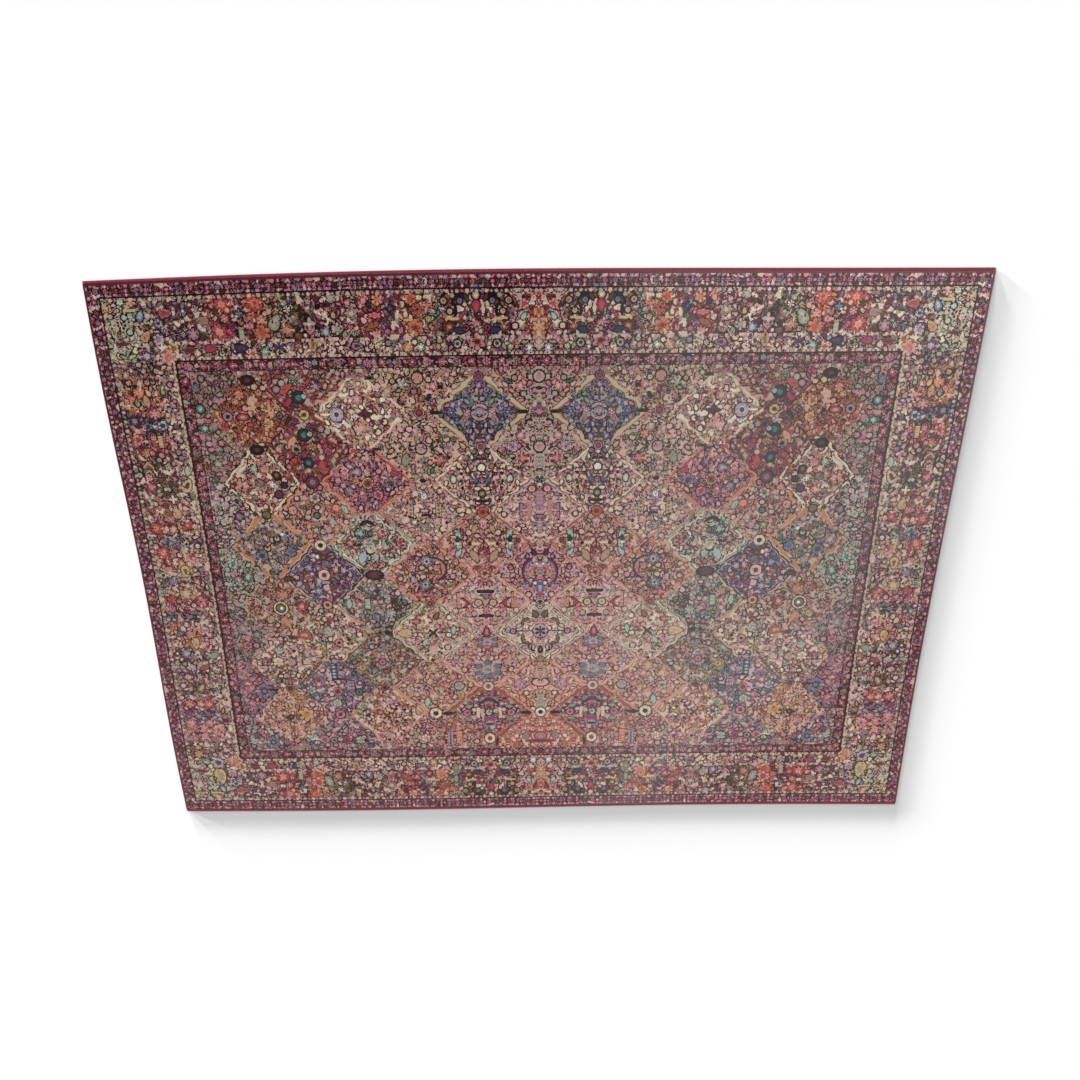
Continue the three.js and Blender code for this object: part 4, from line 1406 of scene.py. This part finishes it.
def string_along(chart, depth, step, form, size, yarns):
    """Motifs in a row at one depth from the pile's edge, with their yarns in turn."""
    x_end, y_side = EDGE[0] - depth * END_DEEPER, EDGE[1] - depth
    for number, x in enumerate(np.arange(-step / 2, -x_end, -step)):
        chart.folded(form, 0, 0, x, y_side, size, yarns[number % len(yarns)], 90, 1, ":")
    for number, y in enumerate(np.arange(y_side - step, -y_side, -step)):
        chart.motif(form, -x_end, y, size, yarns[number % len(yarns)])


def make_chart():
    chart = Chart()
    weave_borders(chart)
    weave_field(chart)
    return chart.cells


def corner(name):
    near_or_far, left_or_right = name.split("_")
    x = LENGTH / 2 if left_or_right == "right" else -LENGTH / 2
    y = WIDTH / 2 if near_or_far == "near" else -WIDTH / 2
    return np.array((x, y), float) + CORNER_SHIFT[name]


SIDE_ENDS = {
    "far": (("far_left", "far_right"), (0, -1)),
    "near": (("near_left", "near_right"), (0, 1)),
    "left": (("far_left", "near_left"), (-1, 0)),
    "right": (("far_right", "near_right"), (1, 0)),
}


def side_wave(side, share):
    """How far a side leaves the straight line, outwards."""
    share = np.asarray(share, float)[..., None]
    wave = sum(SIDES[side][name] * np.sin(halves * np.pi * share)
               for name, halves in (("bow", 1), ("sway", 2), ("ripple", 3)))
    return np.array(SIDE_ENDS[side][1]) * wave


def side_points(side, share):
    """Points of a side in the plan. far and near run from left to right, left and right from far to near."""
    start, end = SIDE_ENDS[side][0]
    along = np.asarray(share, float)[..., None]
    return corner(start) * (1 - along) + corner(end) * along + side_wave(side, share)


def plan_points(u, v):
    """Points of the plan, u from left to right and v from far to near. A side's waves die out inwards."""
    a, b = u[..., None], v[..., None]
    flat = (corner("far_left") * (1 - a) + corner("far_right") * a) * (1 - b) + (
        corner("near_left") * (1 - a) + corner("near_right") * a) * b
    for side, place, share in (("far", u, 1 - b), ("near", u, b), ("left", v, 1 - a), ("right", v, a)):
        flat = flat + side_wave(side, place) * share**WAVES_DIE_OUT
    return flat


def plan_middle():
    """The middle of the plan's bounding box, which is the part's origin."""
    share = np.linspace(0, 1, 2001)
    outline = np.concatenate([side_points(side, share) for side in SIDES])
    return (outline.min(0) + outline.max(0)) / 2


MIDDLE = plan_middle()


def cloth_points(u, v, drawn_in):
    """Points of the cloth between the sergings, from shares of its length and width."""
    ends = drawn_in / LENGTH
    sides = (SERGING["width"] + GAP + drawn_in) / WIDTH
    return plan_points(ends + (1 - 2 * ends) * u, sides + (1 - 2 * sides) * v) - MIDDLE


def new_piece(name, points, faces, *materials):
    mesh = bpy.data.meshes.new(name)
    mesh.from_pydata(points, [], faces)
    for material in materials:
        mesh.materials.append(material)
    mesh.polygons.foreach_set("use_smooth", np.ones(len(faces), bool))
    piece = bpy.data.objects.new(name, mesh)
    bpy.context.scene.collection.objects.link(piece)
    return piece


def corner_vertices(mesh):
    """The number of the vertex at each face corner."""
    vertices = np.empty(len(mesh.loops), int)
    mesh.loops.foreach_get("vertex_index", vertices)
    return vertices


def new_map(mesh, name, values):
    mesh.uv_layers.new(name=name).data.foreach_set("uv", values.ravel().astype(np.float32))


def pile_height(u, v):
    """How uneven the pile's top is, in mm, fading out at its edges."""
    waves = sum(np.sin(a * u + b * v + c) for a, b, c in PILE_WAVES) / len(PILE_WAVES)
    from_edge = np.minimum(np.minimum(u, 1 - u) * LENGTH, np.minimum(v, 1 - v) * WIDTH)
    return PILE_UNEVEN * np.clip(from_edge / PILE_FADE, 0, 1) * (waves - PILE_SUNK)


def make_rug(chart, pile, backing):
    """One closed sheet: a grid of tuft blocks on top, rings down its edge, and its back."""
    blocks = (TUFTS[0] // BLOCK, TUFTS[1] // BLOCK)
    u, v = np.meshgrid(np.linspace(0, 1, blocks[0] + 1), np.linspace(0, 1, blocks[1] + 1))
    height, drawn_in = EDGE_PROFILE[0]
    top_points = np.concatenate([cloth_points(u, v, drawn_in), (height + pile_height(u, v))[..., None]], -1)
    points = [top_points.reshape(-1, 3)]
    number = np.arange(u.size).reshape(u.shape)
    i, j = np.meshgrid(np.arange(blocks[0]), np.arange(blocks[1]))
    corners = (number[j, i], number[j, i + 1], number[j + 1, i + 1], number[j + 1, i])
    top = np.stack(corners, -1).reshape(-1, 4)
    block_of_face = [np.stack([i, j], -1).reshape(-1, 2)]
    # The rim runs round the grid from its far left corner, against the clock seen from above
    columns, rows = np.arange(blocks[0]), np.arange(blocks[1])
    rim = np.concatenate([
        np.stack([columns, 0 * columns], -1),
        np.stack([0 * rows + blocks[0], rows], -1),
        np.stack([blocks[0] - columns, 0 * columns + blocks[1]], -1),
        np.stack([0 * rows, blocks[1] - rows], -1),
    ])
    rim_blocks = np.clip(np.minimum(rim, np.roll(rim, -1, 0)), 0, np.array(blocks) - 1)
    ring = number[rim[:, 1], rim[:, 0]]
    start = u.size
    faces = [top]
    kinds = [np.zeros(len(top), int)]
    for height, drawn_in in EDGE_PROFILE[1:]:
        plan = cloth_points(rim[:, 0] / blocks[0], rim[:, 1] / blocks[1], drawn_in)
        points.append(np.concatenate([plan, np.full((len(rim), 1), height)], -1))
        lower = start + np.arange(len(rim))
        faces.append(np.stack([ring, lower, np.roll(lower, -1), np.roll(ring, -1)], -1))
        kinds.append(np.full(len(rim), int(height < FOUNDATION)))
        block_of_face.append(rim_blocks)
        ring, start = lower, start + len(rim)
    face_list = np.concatenate(faces).tolist() + [ring[::-1].tolist()]
    kinds = np.concatenate(kinds + [[1]])
    block_of_face = np.concatenate(block_of_face + [[[0, 0]]])
    rug = new_piece("rug", (np.concatenate(points) * MM).tolist(), face_list, pile, backing)
    rug.data.polygons.foreach_set("material_index", kinds)
    chart_attributes(rug.data, chart, block_of_face)
    chart_maps(rug.data, len(top), rim, rim_blocks, blocks)
    return rug


def chart_attributes(mesh, chart, block_of_face):
    """The yarns of each block of tufts, as one number on its face for each of its rows. A row's yarns are
    the number's digits, to the base of the yarns' count."""
    whole = np.concatenate([chart, chart[:, ::-1]], 1)[::-1]
    block = whole.reshape(whole.shape[0] // BLOCK, BLOCK, whole.shape[1] // BLOCK, BLOCK)
    for row in range(BLOCK):
        digits = sum(block[:, row, :, column].astype(np.int64) * len(YARNS) ** column
                     for column in range(BLOCK))
        attribute = mesh.attributes.new(f"tuft_row_{row}", "FLOAT", "FACE")
        values = digits[block_of_face[:, 1], block_of_face[:, 0]]
        attribute.data.foreach_set("value", values.astype(np.float32))


def chart_maps(mesh, top_faces, rim, rim_blocks, blocks):
    """Two UV maps: one in tufts, for the pile's pattern, and one from 0 to 1, with the top and the back
    apart."""
    vertices = corner_vertices(mesh)
    points = np.empty(len(mesh.vertices) * 3)
    mesh.vertices.foreach_get("co", points)
    points = points.reshape(-1, 3)[vertices]
    tufts = np.zeros((len(vertices), 2))
    top = 4 * top_faces
    side = blocks[0] + 1
    tufts[:top, 0] = vertices[:top] % side * BLOCK
    tufts[:top, 1] = vertices[:top] // side * BLOCK
    # An edge face shows the outermost tufts of its block, drawn down the pile's side
    rings = len(EDGE_PROFILE) - 1
    here, there = BLOCK * rim, BLOCK * np.roll(rim, -1, 0)
    inwards = np.sign(BLOCK * (rim_blocks + 0.5) - (here + there) / 2) * (here == there)
    corners = np.stack([here, here, there, there], 1) + INTO_TUFT * inwards[:, None]
    tufts[top:top + 4 * rings * len(rim)] = np.tile(corners.reshape(-1, 2), (rings, 1))
    unit = points[:, :2] / (LENGTH * MM * TOP_ON_MAP["margin"]) + TOP_ON_MAP["middle"]
    back = len(rim)
    unit[-back:] = points[-back:, :2] * BACK_ON_MAP["size"] / (LENGTH * MM) + BACK_ON_MAP["middle"]
    new_map(mesh, "tufts", tufts)
    new_map(mesh, "OFBake", unit)


def serging_section():
    """The section of the yarn-wrapped edge, as y across and z up: half-round over a flat foot, with three
    points on each corner's arc."""
    half, tall = SERGING["width"] / 2, SERGING["height"]
    top, foot = SERGING["top_radius"], SERGING["foot_radius"]
    points = []
    for sy, cz, radius, first in ((1, foot, foot, -90), (1, tall - top, top, 0), (-1, tall - top, top, 90),
                                  (-1, foot, foot, 180)):
        for angle in (math.radians(first + degrees) for degrees in (0, 45, 90)):
            points.append((sy * (half - radius) + radius * math.cos(angle), cz + radius * math.sin(angle)))
    return np.array(points)


def make_serging(side, material):
    """Yarn sewn over and over round the rug's long edge, as a closed ridged tube."""
    count = int(LENGTH / WRAP_PITCH) * WRAP_STATIONS + 1
    share = np.linspace(0, 1, count)
    along = share * LENGTH
    inward = -1 if side == "near" else 1
    line = side_points(side, share) + np.array((0, inward * SERGING["width"] / 2)) - MIDDLE
    size = np.interp(np.minimum(along, LENGTH - along), *zip(*SERGING_END))
    section = serging_section()
    turn = np.linspace(0, 1, len(section), endpoint=False)
    middle = np.array((0, SERGING["height"] / 2))
    outwards = (section - middle) / np.linalg.norm(section - middle, axis=1)[:, None]
    phase = 2 * np.pi * (along[:, None] / WRAP_PITCH - WRAP_SLANT * turn[None])
    # The grooves between the turns leave the flat foot as it is
    groove = WRAP_DEPTH * (0.5 - 0.5 * np.cos(phase)) ** 2 * (section[:, 1] > 0.1)[None]
    ring = (section[None] - outwards[None] * groove[..., None]) * size[:, None, None]
    x = np.broadcast_to(line[:, :1], groove.shape)
    points = np.stack([x, line[:, 1:] + ring[..., 0], ring[..., 1]], -1).reshape(-1, 3)
    n = len(section)
    first = np.arange(count - 1)[:, None] * n
    here = np.arange(n)[None]
    after = (here + 1) % n
    quads = np.stack([first + here, first + n + here, first + n + after, first + after], -1).reshape(-1, 4)
    ends = [list(range(n))[::-1], [(count - 1) * n + k for k in range(n)]]
    faces = quads[:, ::-1].tolist() + ends
    piece = new_piece("serging_" + side + "_yarn", (points * MM).tolist(), faces, material)
    # The map counts the turns along the yarn and runs from 0 to 1 round it
    wraps = np.stack([np.repeat(along / WRAP_PITCH, n), np.tile(turn, count)], -1)
    wraps[:, 0] -= WRAP_SLANT * wraps[:, 1]
    values = wraps[corner_vertices(piece.data)]
    corners = values[: 4 * len(quads)].reshape(-1, 4, 2)
    closing = (corners[..., 1].max(1) - corners[..., 1].min(1)) > 0.5
    wrapped = closing[:, None] & (corners[..., 1] < 0.5)
    corners[..., 0] -= WRAP_SLANT * wrapped
    corners[..., 1] += wrapped
    new_map(piece.data, "wraps", values)
    return piece


def arithmetic(operation, swapped=False):
    """An operator of Value, which adds a Math node."""
    def result(value, other):
        return value.finish.math(operation, *((other, value) if swapped else (value, other)))
    return result


class Value:
    """An output of a material's nodes."""

    def __init__(self, finish, socket):
        self.finish = finish
        self.socket = socket

    __add__ = __radd__ = arithmetic("ADD")
    __mul__ = __rmul__ = arithmetic("MULTIPLY")
    __sub__ = arithmetic("SUBTRACT")
    __rsub__ = arithmetic("SUBTRACT", swapped=True)
    __truediv__ = arithmetic("DIVIDE")
    __mod__ = arithmetic("MODULO")
    __gt__ = arithmetic("GREATER_THAN")


class Finish:
    """A material and the nodes that it is made of."""

    def __init__(self, name, **uniform):
        self.material = bpy.data.materials.new(name)
        self.material.use_nodes = True
        self.tree = self.material.node_tree
        self.shader = self.tree.nodes["Principled BSDF"]
        for socket, value in uniform.items():
            self.shader.inputs[socket.replace("_", " ")].default_value = value

    def node(self, kind, settings, values, output=0):
        """A node of a kind: its settings first, then the values or links of its sockets, and one output."""
        made = self.tree.nodes.new("ShaderNode" + kind)
        for name, value in settings.items():
            if name == "stops":
                set_stops(made.color_ramp, value)
            elif name == "interpolation":
                made.color_ramp.interpolation = value
            else:
                setattr(made, name, value)
        for name, value in values.items():
            if isinstance(value, Value):
                self.tree.links.new(value.socket, made.inputs[name])
            else:
                made.inputs[name].default_value = value
        return Value(self, made.outputs[output])

    def math(self, operation, *values):
        return self.node("Math", {"operation": operation}, dict(enumerate(values)))

    def floor(self, value):
        return self.math("FLOOR", value)

    def wave(self, value, length=1):
        """Sine waves of a length."""
        return self.math("SINE", value * (2 * math.pi / length))

    def place(self):
        return self.node("TexCoord", {}, {}, "Object")

    def split(self, vector):
        return [self.node("SeparateXYZ", {}, {0: vector}, output) for output in range(3)]

    def joined(self, *values):
        return self.node("CombineXYZ", {}, dict(enumerate(values)))

    def scaled(self, colour, value):
        return self.node("VectorMath", {"operation": "SCALE"}, {0: colour, "Scale": value})

    def mixed(self, share, one, other):
        """one where share is 0, and other where it is 1."""
        return self.node("Mix", {"data_type": "RGBA"}, {0: share, 6: one, 7: other}, 2)

    def rising(self, value, start, end):
        """0 up to start, 1 from end on, and smooth between."""
        return self.node("MapRange", {"interpolation_type": "SMOOTHSTEP"}, {0: value, 1: start, 2: end})

    def noise(self, vector, scale, detail):
        return self.node("TexNoise", {}, {"Vector": vector, "Scale": scale, "Detail": detail})

    def feed(self, **sockets):
        for socket, value in sockets.items():
            self.tree.links.new(value.socket, self.shader.inputs[socket.replace("_", " ")])

    def bump(self, height, distance):
        self.feed(Normal=self.node("Bump", {}, {"Strength": 1.0, "Distance": distance, "Height": height}))


def set_stops(ramp, stops):
    """Stops are (place, colour). A new ramp has two already."""
    while len(ramp.elements) < len(stops):
        ramp.elements.new(0.5)
    for element, (place, _) in zip(ramp.elements, stops):
        element.position = place
    for element, (_, colour) in zip(ramp.elements, stops):
        element.color = colour


def linear(code):
    """A shader colour from a six-digit colour code."""
    parts = [int(code[n:n + 2], 16) / 255 for n in (0, 2, 4)]
    return tuple(p / 12.92 if p <= 0.04045 else ((p + 0.055) / 1.055) ** 2.4 for p in parts) + (1,)


def shade_of(shades, **parts):
    """How light a yarn is. Each part, from 0 to 1, takes it from its dark to its light shade."""
    product = 1
    for name, (dark, light) in shades.items():
        product = product * (dark + (light - dark) * parts[name])
    return product


def chart_colour(finish, column, row):
    """The yarn's colour at a column and a row of a block of tufts, from the digits of the row's number."""
    count = len(YARNS)
    digits = 0
    for number in range(BLOCK):
        stored = finish.node("Attribute", {"attribute_name": f"tuft_row_{number}"}, {}, 2)
        digits = stored * finish.math("COMPARE", row, number, 0.5) + digits
    place = 1
    for number in range(BLOCK - 1):
        place = (1 + (count - 1) * (column > number + 0.5)) * place
    yarn = finish.floor(digits / place) % count
    stops = [(number / count, linear(code)) for number, code in enumerate(YARNS.values())]
    return finish.node("ValToRGB", {"stops": stops, "interpolation": "CONSTANT"}, {0: (yarn + 0.5) / count})


def pile_finish():
    """Cut wool tufts, each in its yarn of the chart, with wear, painted shade and painted light."""
    finish = Finish("wool pile", **WOOL)
    u, v, _ = finish.split(finish.node("UVMap", {"uv_map": "tufts"}, {}))
    tuft_u, tuft_v = finish.floor(u), finish.floor(v)
    colour = chart_colour(finish, tuft_u % BLOCK, tuft_v % BLOCK)
    own = finish.node("TexWhiteNoise", {"noise_dimensions": "2D"}, {"Vector": finish.joined(tuft_u, tuft_v)})
    place = finish.place()
    banded = finish.node("VectorMath", {"operation": "MULTIPLY"}, {0: place, 1: DYE_LOT_BANDS})
    dye_lot = finish.noise(banded, *DYE_LOTS)
    wear = finish.noise(place, *WEAR)
    fibre = finish.noise(place, *FIBRES)
    across, along = u - tuft_u - 0.5, v - tuft_v - 0.5
    dome = 1 - 2 * (across * across + along * along)
    x, y, _ = finish.split(place)
    far = 0.5 - y / (WIDTH * MM)
    # Besides the yarn's own tones, the shade holds painted shade between the tufts and painted light, darker
    # on the near side
    shade = shade_of(PILE_TONE_AND_PAINTED_SHADE, own=own, dome=dome, dye_lot=dye_lot, fibre=fibre, far=far)
    # Painted haze, stronger towards the far side, and worn places faded
    painted_haze_and_wear = PAINTED_HAZE_AND_WEAR["far"] * far + PAINTED_HAZE_AND_WEAR["worn"] * (wear - 0.5)
    hazed_and_worn = finish.mixed(painted_haze_and_wear, finish.scaled(colour, shade), linear(FADED_WOOL_AND_HAZE))
    # The right half has a painted pale haze but for its far corner, and painted light brightens it, most of
    # all towards its near corner
    right = finish.rising(x, *RIGHT_HALF)
    pale = right * (1 - finish.rising(x - 0.9 * y, *FAR_CORNER))
    near_side = PAINTED_LIGHT["near_side"] * finish.rising(y, *NEAR_SIDE)
    near_corner = PAINTED_LIGHT["near_corner"] * finish.rising(x + 1.1 * y, *NEAR_CORNER)
    far_part = PAINTED_LIGHT["far_part"] * pale * finish.rising(0 - y, *FAR_PART)
    painted_brightening = right * (PAINTED_LIGHT["right"] + near_side + near_corner) + far_part
    finish.feed(Base_Color=finish.mixed(PAINTED_HAZE * pale, finish.scaled(hazed_and_worn, 1 + painted_brightening), linear(PAINTED_HAZE_COLOUR)))
    finish.bump(dome * 0.7 + fibre * 0.3 + own * 0.2, TUFT_RELIEF)
    return finish.material


def backing_finish():
    """The rug's bare back and edge: tan ribs of jute weft over the warp."""
    finish = Finish("woven back", **JUTE)
    place = finish.place()
    x, y, _ = finish.split(place)
    weave = finish.wave(x, JUTE_PITCH) * finish.wave(y, JUTE_PITCH) * 0.5 + 0.5
    grain = finish.noise(place, *JUTE_GRAIN)
    finish.feed(Base_Color=finish.mixed(weave * 0.5 + grain * 0.5, linear(DARK_JUTE), linear(LIGHT_JUTE)))
    finish.bump(weave * 0.7 + grain * 0.3, JUTE_RELIEF)
    return finish.material


def serging_finish():
    """Crimson wool yarn, wrapped closely over the long edges, with painted shade between its turns."""
    finish = Finish("serging yarn", **SERGING_YARN)
    u, v, _ = finish.split(finish.node("UVMap", {"uv_map": "wraps"}, {}))
    wrap = finish.floor(u)
    own = finish.node("TexWhiteNoise", {"noise_dimensions": "1D"}, {"W": wrap})
    worn = finish.noise(finish.place(), *SERGING_WEAR)
    plies = finish.wave(u * 3 + v * 24)
    fluff = finish.noise(finish.joined(u * 5.0, v * 14.0), *FLUFF)
    middle = u - wrap - 0.5
    # Painted shade: each turn of yarn is darker towards the grooves at its sides
    dome = 1 - 3 * middle * middle
    colour = finish.mixed(worn, linear(DARK_CRIMSON), linear(LIGHT_CRIMSON))
    finish.feed(Base_Color=finish.scaled(colour, shade_of(SERGING_TONE_AND_PAINTED_SHADE, own=own, dome=dome, fluff=fluff)))
    finish.bump(plies * 0.25 + fluff * 0.75, PLY_RELIEF)
    return finish.material


def make_floor():
    bpy.ops.object.select_all(action="DESELECT")
    bpy.ops.mesh.primitive_plane_add(size=FLOOR["size"], location=(0, 0, -FLOOR["below"]))
    floor = bpy.context.active_object
    floor.name = "floor"
    finish = Finish("pale floor", Roughness=1.0, Specular_IOR_Level=0.0, Base_Color=FLOOR["colour"])
    floor.data.materials.append(finish.material)
    return floor


def lamp(name, energy, degrees, towards):
    """A far lamp that looks so many degrees wide."""
    data = bpy.data.lights.new(name, "SUN")
    data.energy = energy
    data.angle = math.radians(degrees)
    holder = bpy.data.objects.new(name, data)
    holder.rotation_euler = Vector(towards).to_track_quat("-Z", "Y").to_euler()
    bpy.context.scene.collection.objects.link(holder)
    return holder


def make_lights(floor):
    """A white studio tent with a lamp at the upper left. Three very low ones light the floor alone, and draw
    the rug's long soft shadow to the lower right."""
    world = bpy.data.worlds.new("white tent")
    world.use_nodes = True
    background = world.node_tree.nodes["Background"]
    background.inputs["Color"].default_value = (1, 1, 1, 1)
    background.inputs["Strength"].default_value = TENT
    bpy.context.scene.world = world
    lamp("upper left lamp", **KEY_LAMP)
    lit = bpy.data.collections.new("lit by the floor lamps")
    lit.objects.link(floor)
    for turn in (math.radians(degrees) for degrees in FLOOR_LAMPS["turns"]):
        towards = (math.cos(turn), -math.sin(turn), -FLOOR_LAMPS["drop"])
        low = lamp("floor lamp", FLOOR_LAMPS["energy"], FLOOR_LAMPS["degrees"], towards)
        low.light_linking.receiver_collection = lit


def make_camera():
    """Over the near side, in the photograph's frame."""
    data = bpy.data.cameras.new("camera")
    for name, value in CAMERA.items():
        setattr(data, name, value)
    camera = bpy.data.objects.new("camera", data)
    x, y, z = CAMERA_PLACE
    camera.location = Vector((x - MIDDLE[0], y - MIDDLE[1], z)) * MM
    camera.rotation_euler = Euler([math.radians(angle) for angle in CAMERA_ANGLES], "XYZ")
    bpy.context.scene.collection.objects.link(camera)
    bpy.context.scene.camera = camera


make_camera()
make_lights(make_floor())
bpy.context.scene.view_settings.view_transform = "Standard"

rug = make_rug(make_chart(), pile_finish(), backing_finish())
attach(rug, "root")
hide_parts("rug_body")
for side in ("near", "far"):
    serging = make_serging(side, serging_finish())
    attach(serging, "root")
    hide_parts("serging_" + side)
